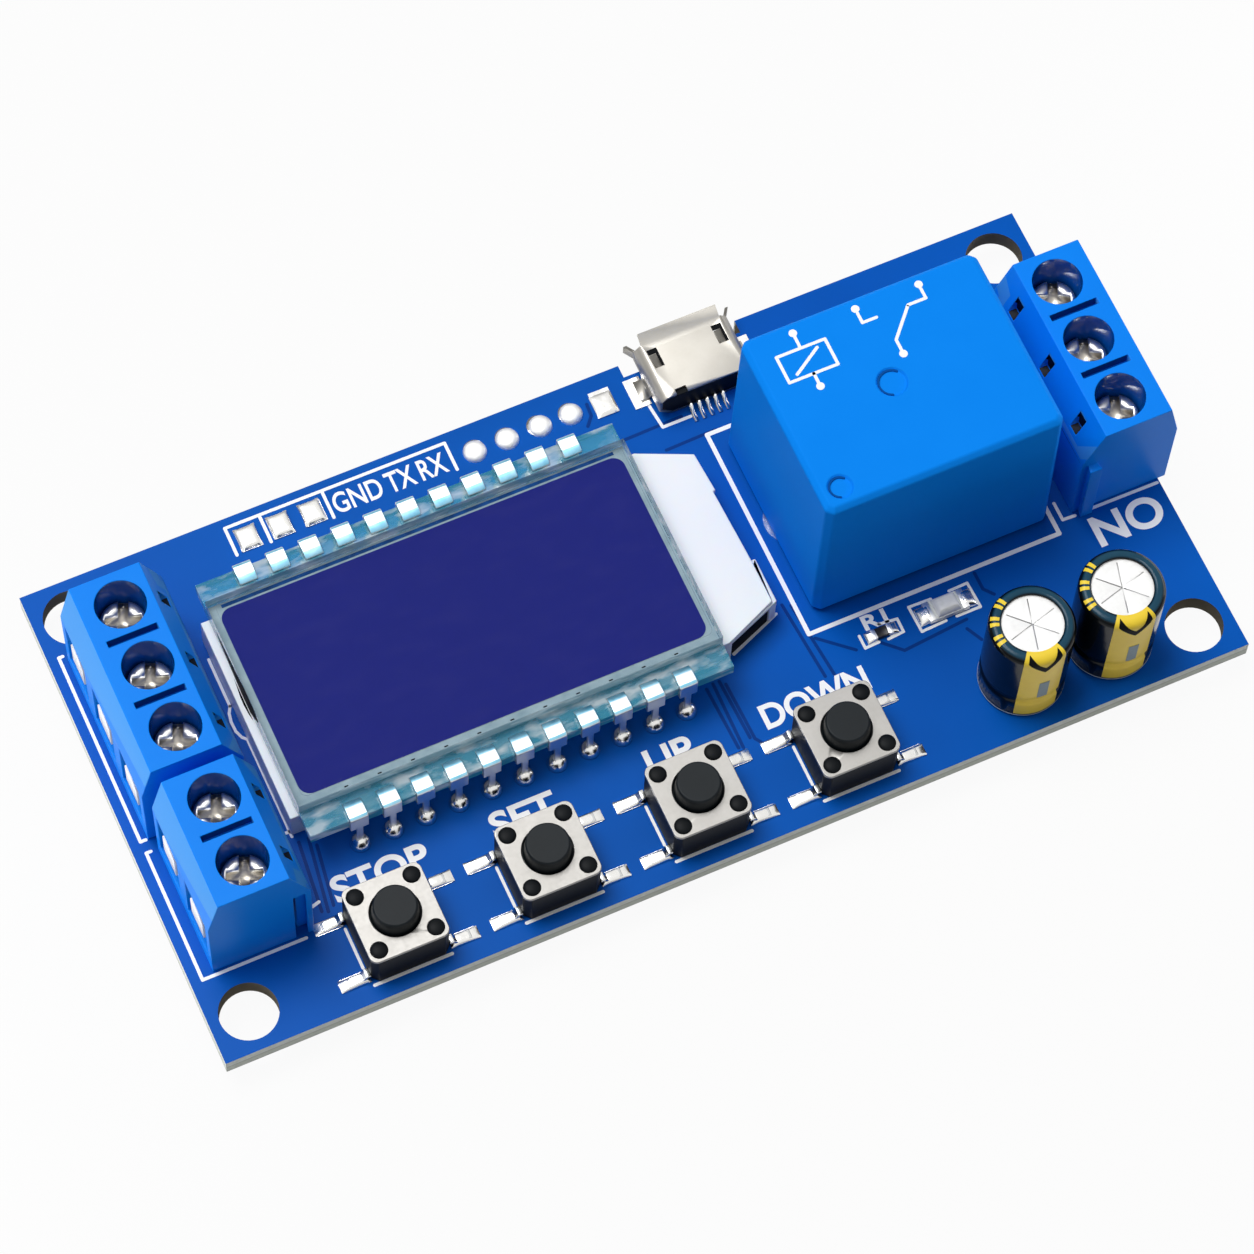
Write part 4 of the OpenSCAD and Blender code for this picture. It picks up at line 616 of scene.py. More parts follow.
def flat_part(curve):
    """A filled flat curve as a part. The curve is used up."""
    holder = bpy.data.objects.new("outline", curve)
    mesh = bpy.data.meshes.new_from_object(holder)
    part = bmesh.new()
    part.from_mesh(mesh)
    bmesh.ops.remove_doubles(part, verts=part.verts, dist=FINE_MERGE)
    bpy.data.objects.remove(holder)
    bpy.data.curves.remove(curve)
    bpy.data.meshes.remove(mesh)
    return part


def pull_up(shape, height):
    """Gives a flat shape its thickness."""
    pulled = bmesh.ops.extrude_face_region(shape, geom=shape.faces[:])["geom"]
    top = [item for item in pulled if isinstance(item, bmesh.types.BMVert)]
    bmesh.ops.translate(shape, vec=(0, 0, height), verts=top)
    return top


def add_plate(shape, low, high, bottom, thickness, corner=0.0):
    """Adds a flat plate with round corners to a shape."""
    plate = bmesh.new()
    bmesh.ops.create_grid(plate, x_segments=1, y_segments=1, size=0.5)
    bmesh.ops.scale(plate, vec=(high[0] - low[0], high[1] - low[1], 1), verts=plate.verts)
    if corner:
        bmesh.ops.bevel(plate, geom=plate.verts[:], offset=corner, offset_type="OFFSET", affect="VERTICES",
                        segments=8, profile=0.5, material=-1)
    pull_up(plate, thickness)
    middle = ((low[0] + high[0]) / 2, (low[1] + high[1]) / 2, bottom)
    bmesh.ops.translate(plate, vec=middle, verts=plate.verts)
    merge_in(shape, plate)


print("piece helpers ready")

# %% [markdown]
# ## Nylon of the terminal blocks
# A block is moulded in one blue, but it doesn't look so. Light that falls into a well or a slot hardly
# comes back out, and the smooth outer slope takes on the pale room. The finish paints that light in: painted
# shade deepens the walls inside a block and blackens the small slots of the inner slope, and painted light
# makes the outer slope paler. Which face is which is told by its direction and its place.

# %% Nylon of the terminal blocks
WAYS = {"trigger": 3, "power": 2, "output": 3}
WAY_PITCH = 5.08
WALL_MARGIN = 0.3
WALL_REACH = 2.6
SLOPE_BOTTOM = BOARD_TOP + 7.5
SLOT_TOP = BOARD_TOP + 10.3
# How far a face looks up, from 0 for a wall to 1 for a floor, and how far it may be off that
FACES = {"wall": (0.0, 0.12), "floor": (1.0, 0.1), "outer_slope": (0.24, 0.06)}


def block_nylon(block):
    """The nylon of one block, with painted shade on the walls inside it and painted light on its outer slope.
    """
    first, last = box_mm(f"{block}_screw_1")[0], box_mm(f"{block}_screw_{WAYS[block]}")[1]
    middle = (first + last) / 2 * MM
    reach_y = (WAYS[block] * WAY_PITCH / 2 - WALL_MARGIN) * MM
    finish = moulded_plastic(f"blue_{block}_nylon", *NYLON, 0.40, relief=0.0004, Specular_IOR_Level=0.08)
    tree = finish.node_tree
    shader = tree.nodes["Principled BSDF"]
    tint = shader.inputs["Base Color"].links[0].from_socket
    place = add_node(tree, "ShaderNodeTexCoord", {}).outputs["Object"]
    shift = add_node(tree, "ShaderNodeVectorMath", {0: place, 1: middle}, operation="SUBTRACT")
    way = add_node(tree, "ShaderNodeVectorMath", {0: shift}, operation="ABSOLUTE")
    out = add_node(tree, "ShaderNodeSeparateXYZ", {"Vector": way}).outputs
    height = add_node(tree, "ShaderNodeSeparateXYZ", {"Vector": place}).outputs["Z"]
    limits = {
        "near": (out["X"], WALL_REACH * MM, "LESS_THAN"),
        "far": (out["X"], WALL_REACH * MM, "GREATER_THAN"),
        "between_ends": (out["Y"], reach_y, "LESS_THAN"),
        "high": (height, SLOPE_BOTTOM * MM, "GREATER_THAN"),
        "below_top": (height, SLOT_TOP * MM, "LESS_THAN"),
    }
    test = {}
    for name, (value, limit, operation) in limits.items():
        test[name] = add_node(tree, "ShaderNodeMath", {0: value, 1: limit}, operation=operation)
    tilt = face_tilt(tree)["Z"]
    for name, (level, spread) in FACES.items():
        test[name] = add_node(tree, "ShaderNodeMath", {0: tilt, 1: level, 2: spread}, operation="COMPARE")
    # Every wall between the slopes belongs to a well or a slot
    for name, either, other in (("inner", "near", "high"), ("cut", "wall", "floor")):
        test[name] = add_node(tree, "ShaderNodeMath", {0: test[either], 1: test[other]}, operation="MAXIMUM")
    # Painted shade on the walls inside a block, painted shade in the small slots, and painted light on the
    # outer slope
    painted_light_and_shade = ((("inner", "between_ends", "wall"), "#034a94"),
             (("cut", "high", "below_top", "far", "between_ends"), "#010c1c"),
             (("outer_slope",), "#3a95e8"))
    for names, shade in painted_light_and_shade:
        share = test[names[0]]
        for name in names[1:]:
            share = add_node(tree, "ShaderNodeMath", {0: share, 1: test[name]}, operation="MULTIPLY")
        tint = add_node(tree, "ShaderNodeMix", {FACTOR: share, FIRST: tint, SECOND: shade}, data_type="RGBA")
    set_inputs(tree, shader, {"Base Color": tint})
    return finish


block_finishes = {block: block_nylon(block) for block in WAYS}
print("made", [finish.name for finish in block_finishes.values()])

# %% [markdown]
# ## Screws and wells
# A screw's head is bright zinc, and shade falls into the cross sunk in it, so its finish turns darker a
# little below the head's face, as painted shade. The mould's round pins leave the walls of the wells
# polished. They get a glossy finish of their own, in a deeper blue than the block as painted shade, which
# mirrors the screws a little, on the faces that stand round a screw's axis.

# %% Screws and wells
CROSS_START = 0.3
WELL_RADIUS = 1.95
WELL_TILT = 0.3
WELL_DEPTH = 1.0

tree = zinc_steel.node_tree
shader = tree.nodes["Principled BSDF"]
bright = shader.inputs["Base Color"].links[0].from_socket
place = add_node(tree, "ShaderNodeTexCoord", {}).outputs["Object"]
height = add_node(tree, "ShaderNodeSeparateXYZ", {"Vector": place})
cross_top = box_mm("trigger_screw_1")[1].z - CROSS_START
sunk = add_node(tree, "ShaderNodeMath", {0: height.outputs["Z"], 1: cross_top * MM}, operation="LESS_THAN")
# The sunk cross gets a brown-grey of painted shade
painted_cross_shade = add_node(tree, "ShaderNodeMix", {FACTOR: sunk, FIRST: bright, SECOND: "#b3ada2"}, data_type="RGBA")
set_inputs(tree, shader, {"Base Color": painted_cross_shade})
# The walls of the wells get a deeper blue than the block's, as painted shade
well_nylon = moulded_plastic("polished_well_nylon", "#0563c2", "#045cb6", 0.08, relief=0.0002,
                             Specular_IOR_Level=1.0)
print("made", well_nylon.name, "and the crosses in", zinc_steel.name)


def polish_well(housing, screw):
    """Gives the walls of the well round a screw their own finish, the second one of the housing."""
    low, high = box_mm(screw)
    axis = (low + high) / 2
    count = 0
    for face in housing.data.polygons:
        run = face.center / MM - axis
        near = math.hypot(run.x, run.y) < WELL_RADIUS
        if near and abs(face.normal.z) < WELL_TILT and face.center.z / MM > high.z - WELL_DEPTH:
            face.material_index = 1
            count += 1
    print("well of", screw, count, "faces")


# %% [markdown]
# ## Terminal blocks
# Each block is one moulding with a well, a screw and a rising wire clamp for every way. Dressed copies of
# the solids are enough, because the wells, slots, sloped sides and wire entries are real cuts there. The
# round on the edges is narrow: the rim of a wire entry is only 0.15 mm wide, and a wide bevel folds it over
# the opening. Screws, clamps and strips keep the crisp edges of cut metal.

# %% Terminal blocks
HOUSING_ROUND = 0.06

for block, ways in WAYS.items():
    housing = dressed(block + "_housing", block_finishes[block], HOUSING_ROUND)
    housing.data.materials.append(well_nylon)
    for way in range(1, ways + 1):
        screw = f"{block}_screw_{way}"
        polish_well(housing, screw)
        dressed(screw, zinc_steel, 0.0)
        dressed(f"{block}_clamp_{way}", tinned_brass, 0.0)

# %% [markdown]
# ## Strips in the wire entries
# The end of each strip is turned up in its wire entry, to keep a wire from slipping past the clamp. It
# springs out until it is nearly level with the block's wall, so the ends in the copy are moved out by that
# much. They are found by how far out they are, at the left and the right end of the board.

# %% Strips in the wire entries
END_STARTS = (-37.6, 40.0)
SPRING_OUT = 0.24

strips = solid_copy("terminal_pins")
left_ends = [vert for vert in strips.verts if vert.co.x < END_STARTS[0]]
right_ends = [vert for vert in strips.verts if vert.co.x > END_STARTS[1]]
bmesh.ops.translate(strips, vec=(-SPRING_OUT, 0, 0), verts=left_ends)
bmesh.ops.translate(strips, vec=(SPRING_OUT, 0, 0), verts=right_ends)
print("strip ends moved", len(left_ends), len(right_ends))
new_piece("terminal_pins_finished", strips, dull_tin, node_body["terminal_pins"],
          ["terminal_pins"])

# %% [markdown]
# ## Push buttons
# A button is a black base with four riveted posts, a satin steel cover, a dark plunger and four legs. The
# plunger's rim is the softest edge on the board, so it gets a wider bevel with more segments.

# %% Push buttons
BUTTONS = ("stop", "set", "up", "down")

dressed("switch_bases", black_nylon, 0.06)
dressed("switch_covers", satin_steel, 0.05)
dressed("switch_legs", tinned_sheet, 0.04)
finished("switch_domes", satin_steel)
for button in BUTTONS:
    dressed(button + "_plunger", plunger_nylon, 0.08, segments=3)

# %% [markdown]
# ## Relay
# The relay's case is a smooth moulding with softly rounded edges. Its magnet and contacts are shut inside,
# so they keep their solids and only get their finishes. The case is set two hundredths lower than its
# solid, which leaves room for the print on its top.

# %% Relay
PRINT_ROOM = 0.02

dressed("relay_case", relay_polyester, 0.14, segments=3, lift=-PRINT_ROOM)
inside_relay = {"relay_base": black_nylon, "relay_bobbin": bobbin_nylon, "relay_winding": coil_copper,
                "relay_core": soft_iron, "relay_yoke": soft_iron, "relay_armature": soft_iron,
                "relay_contact_spring": leaf_bronze, "relay_terminals": tinned_sheet}
for node, finish in inside_relay.items():
    finished(node, finish)

# %% [markdown]
# ## Small parts, socket and underside
# The indicator light and the chip resistor are so small that a narrow round is all that shows. The socket's
# shell is thin folded sheet, whose fold lines are in the solid already. The chips on the underside get matt
# epoxy.

# %% Small parts, socket and underside
dressed("light_base", light_laminate, 0.04)
dressed("light_lens", light_resin, 0.06, segments=3)
dressed("chip_resistor", resistor_glaze, 0.03)
dressed("socket_shell", nickel_shell, 0.0)
dressed("socket_insulator", black_nylon, 0.05)
dressed("socket_contacts", tinned_sheet, 0.0)
dressed("chip_bodies", chip_epoxy, 0.05)
dressed("chip_legs", tinned_sheet, 0.0)
dressed("chip_passives", chip_glaze, 0.03)
dressed("solder_joints", tin_solder, 0.0)
dressed("tinned_pads", tin_solder, 0.0)
finished("circuit_board", board_laminate)

# %% [markdown]
# ## Dark sides of the socket's windows
# Two windows are cut in the socket's shell, where the hooks of a plug catch. From above, their back and
# right sides are black with shade. Thin black plates just under the shell's face draw those sides.

# %% Dark sides of the socket's windows
WINDOW_X = 2.6
WINDOW_HALF = 0.4
WINDOW_LENGTH = 1.6
WINDOW_INSET = 0.55
WINDOW_DARK_BACK = 0.42
WINDOW_DARK_SIDE = 0.22
SOCKET_HEIGHT = 2.75
SOCKET_BACK = 19.05
FILM = 0.02

socket_low, socket_high = box_mm("socket_insulator")
socket_x = (socket_low.x + socket_high.x) / 2
film_z = BOARD_TOP + SOCKET_HEIGHT - 2 * FILM
dark = bmesh.new()
for side in (-1, 1):
    x = socket_x + side * WINDOW_X
    back = SOCKET_BACK - WINDOW_INSET
    front = back - WINDOW_LENGTH
    right = x + WINDOW_HALF
    middle = back - WINDOW_DARK_BACK
    add_plate(dark, (x - WINDOW_HALF, middle), (right, back), film_z, FILM)
    add_plate(dark, (right - WINDOW_DARK_SIDE, front), (right, middle), film_z, FILM)
new_piece("socket_window_sides", dark, matt_black)

# %% [markdown]
# ## Capacitors
# A capacitor is an aluminium can in a shrink sleeve with a printed stripe. The print is wrapped: a flat
# grid is drawn with degrees round the can as its X and the way up the side and over the shoulder as its Y,
# and each point is then carried to the sleeve's face. It is lifted a hair, so that it lies on the sleeve.
# A painted highlight along the sleeve's foot is wrapped the same way.

# %% Capacitors
dressed("capacitor_cans", can_aluminium, 0.0)
dressed("capacitor_sleeves", sleeve_film, 0.0)
finished("capacitor_bungs", bung_rubber)
finished("capacitor_leads", tinned_sheet)

sleeve_low, sleeve_high = box_mm("capacitor_sleeves")
can_radius = (sleeve_high.y - sleeve_low.y) / 2
can_y = (sleeve_high.y + sleeve_low.y) / 2
can_height = sleeve_high.z - BOARD_TOP
can_centres = (sleeve_low.x + can_radius, sleeve_high.x - can_radius)

SHOULDER = 0.55
CRIMP_Z = 2.6
CRIMP_DEPTH = 0.15
CRIMP_HALF = 0.5
PRINT_LIFT = 0.02
SIDE_TOP = can_height - SHOULDER
SHOULDER_END = SIDE_TOP + SHOULDER * math.pi / 2


def sleeve_point(along):
    """The radius and height on the sleeve's face, at a way up the side and in over the shoulder."""
    if along <= SIDE_TOP:
        dip = max(0.0, 1 - ((along - CRIMP_Z) / CRIMP_HALF) ** 2)
        return can_radius - CRIMP_DEPTH * dip, along
    if along <= SHOULDER_END:
        turn = (along - SIDE_TOP) / SHOULDER
        return can_radius - SHOULDER + SHOULDER * math.cos(turn), SIDE_TOP + SHOULDER * math.sin(turn)
    return can_radius - SHOULDER - (along - SHOULDER_END), can_height


def add_wrapped(shape, centre_x, turn, half_turn, start, end, lift, peak=0.0):
    """Adds a printed field to a shape, wrapped on a sleeve. Peak raises its sides into a V."""
    field = bmesh.new()
    bmesh.ops.create_grid(field, x_segments=max(8, round(half_turn / 2)), y_segments=36, size=1.0)
    for vert in field.verts:
        angle = math.radians(turn + half_turn * vert.co.x)
        along = start + (end - start) * (vert.co.y + 1) / 2 + peak * abs(vert.co.x)
        radius, height = sleeve_point(along)
        vert.co = (centre_x + radius * math.cos(angle), can_y + radius * math.sin(angle), BOARD_TOP + height)
    bmesh.ops.recalc_face_normals(field, faces=field.faces)
    field.normal_update()
    for vert in field.verts:
        vert.co += vert.normal * lift
    bmesh.ops.solidify(field, geom=field.faces[:], thickness=PRINT_LIFT / 2)
    merge_in(shape, field)


# Each print has its turn round the can and half its width, in degrees, and its start and end on the way up
STRIPE_TURN = -97.0
STRIPE = (STRIPE_TURN, 30, 0.55, SHOULDER_END + 0.36)
V_MARK = (STRIPE_TURN, 24, 7.55, 8.25)
V_PEAK = 1.35
RECTANGLE = (STRIPE_TURN + 3, 7, 3.3, 5.7)
# The foot ring is no print but a painted highlight along the sleeve's lower edge
FOOT_HIGHLIGHT = (0, 180, 0.30, 0.40)
BAR_TURNS = (118, 128, 149, 159, 180, 190)
BAR = (3, SIDE_TOP + 0.40, SHOULDER_END + 0.22)

gold = bmesh.new()
black = bmesh.new()
grey = bmesh.new()
pale = bmesh.new()
for centre_x in can_centres:
    add_wrapped(gold, centre_x, *STRIPE, PRINT_LIFT)
    add_wrapped(black, centre_x, *V_MARK, 2 * PRINT_LIFT, peak=V_PEAK)
    add_wrapped(grey, centre_x, *RECTANGLE, 2 * PRINT_LIFT)
    for turn in BAR_TURNS:
        add_wrapped(gold, centre_x, turn, *BAR, PRINT_LIFT)
    add_wrapped(pale, centre_x, *FOOT_HIGHLIGHT, PRINT_LIFT)
new_piece("sleeve_gold_print", gold, gold_ink)
new_piece("sleeve_black_print", black, matt_black)
new_piece("sleeve_grey_print", grey, grey_ink)
new_piece("sleeve_foot_painted_highlight", pale, painted_foot_highlight)

# %% [markdown]
# ## Display
# The display is two glass plates with a liquid layer between them. What the eye sees as the dark field lies
# on that layer, under the front glass, with a pale seal round it. So the plates and the film are clear, and
# the field and the seal are thin plates between them.

# %% Display
FIELD_LOW = Vector((-27.9, -4.85))
FIELD_HIGH = Vector((3.55, 10.78))
FIELD_ROUND = 0.9
SEAL_MARGIN = 0.08
LAYER = 0.02
FILM_LIFT = 0.005
SHADOW_INSET = 0.4
SHADOW_GAPS = (0.16, 0.22)

dressed("lcd_rear_glass", ledge_glass, 0.06)
dressed("lcd_front_glass", front_glass, 0.06)
dressed("lcd_front_polariser", clear_film, 0.04, lift=FILM_LIFT)
finished("lcd_rear_polariser", diffusing_film)
dressed("lcd_pins_front", clip_tin, 0.06)
dressed("lcd_pins_back", clip_tin, 0.06)
dressed("backlight_guide", backlight_acrylic, 0.08)

glass_low, glass_high = box_mm("lcd_front_glass")
margin = Vector((SEAL_MARGIN, SEAL_MARGIN, 0))
shape = bmesh.new()
add_plate(shape, glass_low + margin, glass_high - margin, glass_low.z, LAYER)
new_piece("display_seal", shape, seal_grey)
shape = bmesh.new()
add_plate(shape, FIELD_LOW, FIELD_HIGH, glass_low.z + LAYER, LAYER, FIELD_ROUND)
new_piece("display_field", shape, field_blue)
shape = bmesh.new()
shadow_low = (FIELD_LOW.x + SHADOW_INSET, FIELD_HIGH.y + SHADOW_GAPS[0])
shadow_high = (FIELD_HIGH.x - SHADOW_INSET, glass_high.y - SHADOW_GAPS[1])
add_plate(shape, shadow_low, shadow_high, glass_low.z + LAYER, LAYER)
new_piece("display_edge_shadow", shape, edge_shadow)

# %% [markdown]
# ## Fine parts of the display
# At the left end a strip of film has come loose from the glass, and the gap it leaves on the side of the
# plates, shaped like a lens, is drawn as a patch of painted shadow. A dark mark stands at each clip on the
# front edge of the glass, and a black sheet of painted shade lies inside the pocket in the backlight's tail.
# A flat patch is drawn as a closed outline, filled, pulled up and turned into place.

# %% Fine parts of the display
CLIPS = 11
CLIP_PITCH = 2.54
MARK_HALF = Vector((0.15, 0.05))
MARK_INSET = 0.12
PATCH = 0.015
# The painted shadow in the gap on the side of the plates: places along the board, and heights above it
GAP_OUTLINE = ((9.3, 4.25), (8.35, 4.4), (5.98, 4.7), (3.81, 5.35), (2.2, 5.2), (1.57, 4.5), (3.14, 3.1),
               (4.79, 3.1), (6.09, 3.46))
# Where the painted shadow of the gap runs on over the backlight's lip
LIP_OUTLINE = ((-28.66, 6.1), (-28.72, 5.4), (-28.80, 4.6), (-28.82, 3.9), (-28.76, 3.1), (-28.66, 2.5))


def add_patch(shape, points, turn):
    """Adds a thin flat patch to a shape, drawn in its own plane and turned into place."""
    outline = bpy.data.curves.new("patch", "CURVE")
    outline.dimensions = "2D"
    outline.fill_mode = "BOTH"
    spline = outline.splines.new("POLY")
    spline.points.add(len(points) - 1)
    spline.use_cyclic_u = True
    for point, place in zip(spline.points, points):
        point.co = (*place, 0, 1)
    part = flat_part(outline)
    pull_up(part, PATCH)
    bmesh.ops.transform(part, matrix=turn, verts=part.verts)
    merge_in(shape, part)


dark = bmesh.new()
# Along the board and up: the patch's own X, Y and Z become the board's Y, Z and X
side_turn = Matrix(((0, 0, 1, glass_low.x - 2 * PATCH), (1, 0, 0, 0), (0, 1, 0, BOARD_TOP), (0, 0, 0, 1)))
add_patch(dark, GAP_OUTLINE, side_turn)
light_low, light_high = box_mm("backlight_guide")
add_patch(dark, LIP_OUTLINE, Matrix.Translation((0, 0, light_high.z)))
glass_middle = (glass_low.x + glass_high.x) / 2
for count in range(CLIPS):
    mark = Vector((glass_middle + (count - (CLIPS - 1) / 2) * CLIP_PITCH, glass_low.y + MARK_INSET))
    add_plate(dark, mark - MARK_HALF, mark + MARK_HALF, glass_high.z, PATCH)
# A black sheet of painted shade just inside the mouth of the tail's pocket, along its slope
TAIL_SLOPE = (4.6, 1.8)
SLOPE_START = Vector((light_high.x - TAIL_SLOPE[0], light_low.y))
SLOPE_RUN = Vector(TAIL_SLOPE)
MOUTH_MARGIN = 0.36
MOUTH_INSET = 0.15
MOUTH_HEIGHT = 2.28
MOUTH_RISE = 0.01
SHEET = 0.1
slope_turn = Matrix.Rotation(math.atan2(SLOPE_RUN.y, SLOPE_RUN.x), 4, "Z")
sheet = bmesh.new()
mouth_end = (SLOPE_RUN.length - 2 * MOUTH_MARGIN, MOUTH_INSET + SHEET)
add_plate(sheet, (MOUTH_MARGIN, MOUTH_INSET), mouth_end, MOUTH_RISE, MOUTH_HEIGHT)
slope_place = Matrix.Translation((SLOPE_START.x, SLOPE_START.y, BOARD_TOP))
bmesh.ops.transform(sheet, matrix=slope_place @ slope_turn, verts=sheet.verts)
merge_in(dark, sheet)
new_piece("display_marks_and_painted_shade", dark, matt_black)

# %% [markdown]
# ## Solder on the top of the board
# Solder wets a pad to its rim and crowns in the middle, and where a leg stands on the pad it climbs up to
# the leg. A pool starts as a grid that is pulled up by a formula: nothing at the rim, full height inside,
# and higher towards one side where it leans on a leg. A round drop is a flattened sphere, cut level with
# the board.

# %% Solder
POOL_SKIRT = 0.12


def add_pool(shape, low, high, rise, lean=0.0):
    """Adds a pool of solder on a rectangular pad, higher towards its right side by the lean."""
    pool = bmesh.new()
    bmesh.ops.create_grid(pool, x_segments=10, y_segments=10, size=1.0)
    for vert in pull_up(pool, POOL_SKIRT):
        crown = (1 - vert.co.x ** 4) * (1 - vert.co.y ** 4)
        vert.co.z += rise * math.sqrt(max(crown, 0.0)) * (1 + lean * vert.co.x)
    half = ((high[0] - low[0]) / 2, (high[1] - low[1]) / 2, 1)
    bmesh.ops.scale(pool, vec=half, verts=pool.verts)
    middle = ((low[0] + high[0]) / 2, (low[1] + high[1]) / 2, BOARD_TOP)
    bmesh.ops.translate(pool, vec=middle, verts=pool.verts)
    merge_in(shape, pool)


def add_drop(shape, place, radius, rise):
    """Adds a round drop of solder on the board."""
    drop = bmesh.new()
    bmesh.ops.create_uvsphere(drop, u_segments=24, v_segments=16, radius=1.0)
    whole = drop.verts[:] + drop.edges[:] + drop.faces[:]
    bmesh.ops.bisect_plane(drop, geom=whole, plane_co=(0, 0, 0), plane_no=(0, 0, -1), clear_outer=True)
    rim = [edge for edge in drop.edges if edge.is_boundary]
    bmesh.ops.holes_fill(drop, edges=rim)
    bmesh.ops.scale(drop, vec=(radius, radius, rise), verts=drop.verts)
    bmesh.ops.translate(drop, vec=(place[0], place[1], BOARD_TOP), verts=drop.verts)
    merge_in(shape, drop)


# Square pads and the rise of their solder
SQUARE_PADS = {(-23.04, 17.37): 0.22, (-20.50, 17.37): 0.22, (-18.00, 17.37): 0.22, (5.17, 16.95): 0.16}
SQUARE_HALF = (0.84, 0.94)
ROUND_PADS = (-5.11, -2.52, 0.14, 2.60)
ROUND_Y = 17.2
ROUND_RADIUS = 0.90
LEG_PAD_IN = 3.05
LEG_PAD_OUT = 5.30
LEG_PAD_PITCH = 4.66
LEG_PAD_HALF = 0.475
LEG_RISE = 0.22
LEG_LEAN = 0.55
CHIP_LEAN = 0.6
ROUND_RISE = 0.55
# How far the two pads under a small part reach out and in, their half width, and the rise of their solder
CHIP_PADS = {"light_base": (0.65, 0.35, 0.72, 0.36), "chip_resistor": (0.45, 0.30, 0.48, 0.24)}

shape = bmesh.new()
for (x, y), rise in SQUARE_PADS.items():
    add_pool(shape, (x - SQUARE_HALF[0], y - SQUARE_HALF[1]), (x + SQUARE_HALF[0], y + SQUARE_HALF[1]), rise)
for button in BUTTONS:
    low, high = box_mm(button + "_plunger")
    middle = (low + high) / 2
    for side in (-1, 1):
        for row in (-1, 1):
            y = middle.y + row * LEG_PAD_PITCH / 2
            ends = sorted((middle.x + side * LEG_PAD_IN, middle.x + side * LEG_PAD_OUT))
            low_corner = (ends[0], y - LEG_PAD_HALF)
            high_corner = (ends[1], y + LEG_PAD_HALF)
            add_pool(shape, low_corner, high_corner, LEG_RISE, -LEG_LEAN * side)
for node, (pad_out, pad_in, half, rise) in CHIP_PADS.items():
    low, high = box_mm(node)
    y = (low.y + high.y) / 2
    add_pool(shape, (low.x - pad_out, y - half), (low.x + pad_in, y + half), rise, CHIP_LEAN)
    add_pool(shape, (high.x - pad_in, y - half), (high.x + pad_out, y + half), rise, -CHIP_LEAN)
new_piece("board_solder", shape, tin_solder)

shape = bmesh.new()
for x in ROUND_PADS:
    add_drop(shape, (x, ROUND_Y), ROUND_RADIUS, ROUND_RISE)
new_piece("round_pad_solder", shape, satin_solder)

# %% [markdown]
# ## Print on the board
# White outlines are printed on the mask round the parts. A line with round ends is a disc whose one half is
# moved to the line's far end, pulled up by the ink's thickness. In a path each line is a thousandth higher
# than the one before, so that no two faces lie in one plane where they cross.

# %% Printed lines
INK = 0.02
INK_STEP = 0.001
INK_LINE = 0.25
FINE_LINE = 0.22
RELAY_LINE = 0.34
LINE_SIDES = 16


def add_line(shape, start, end, width, height=INK, bottom=BOARD_TOP):
    """Adds a line with round ends to a shape."""
    run = Vector((end[0] - start[0], end[1] - start[1]))
    line = bmesh.new()
    half_step = Matrix.Rotation(math.pi / LINE_SIDES, 4, "Z")
    disc = bmesh.ops.create_circle(line, cap_ends=True, segments=LINE_SIDES, radius=width / 2,
                                   matrix=half_step)
    far = [vert for vert in disc["verts"] if vert.co.x > 0]
    bmesh.ops.translate(line, vec=(run.length, 0, 0), verts=far)
    pull_up(line, height)
    turn = Matrix.Rotation(math.atan2(run.y, run.x), 4, "Z")
    place = Matrix.Translation((start[0], start[1], bottom))
    bmesh.ops.transform(line, matrix=place @ turn, verts=line.verts)
    merge_in(shape, line)


def add_path(shape, points, width, height=INK, bottom=BOARD_TOP):
    """Adds a line through several points to a shape."""
    for count, (start, end) in enumerate(zip(points, points[1:])):
        add_line(shape, start, end, width, height + count * INK_STEP, bottom)


# At each button, a line along its front and one along its left side
BUTTON_HALF = 2.95
BUTTON_FRONT = -18.3
BUTTON_LEFT = 3.2
BUTTON_SIDE = (-13.6, -16.8)
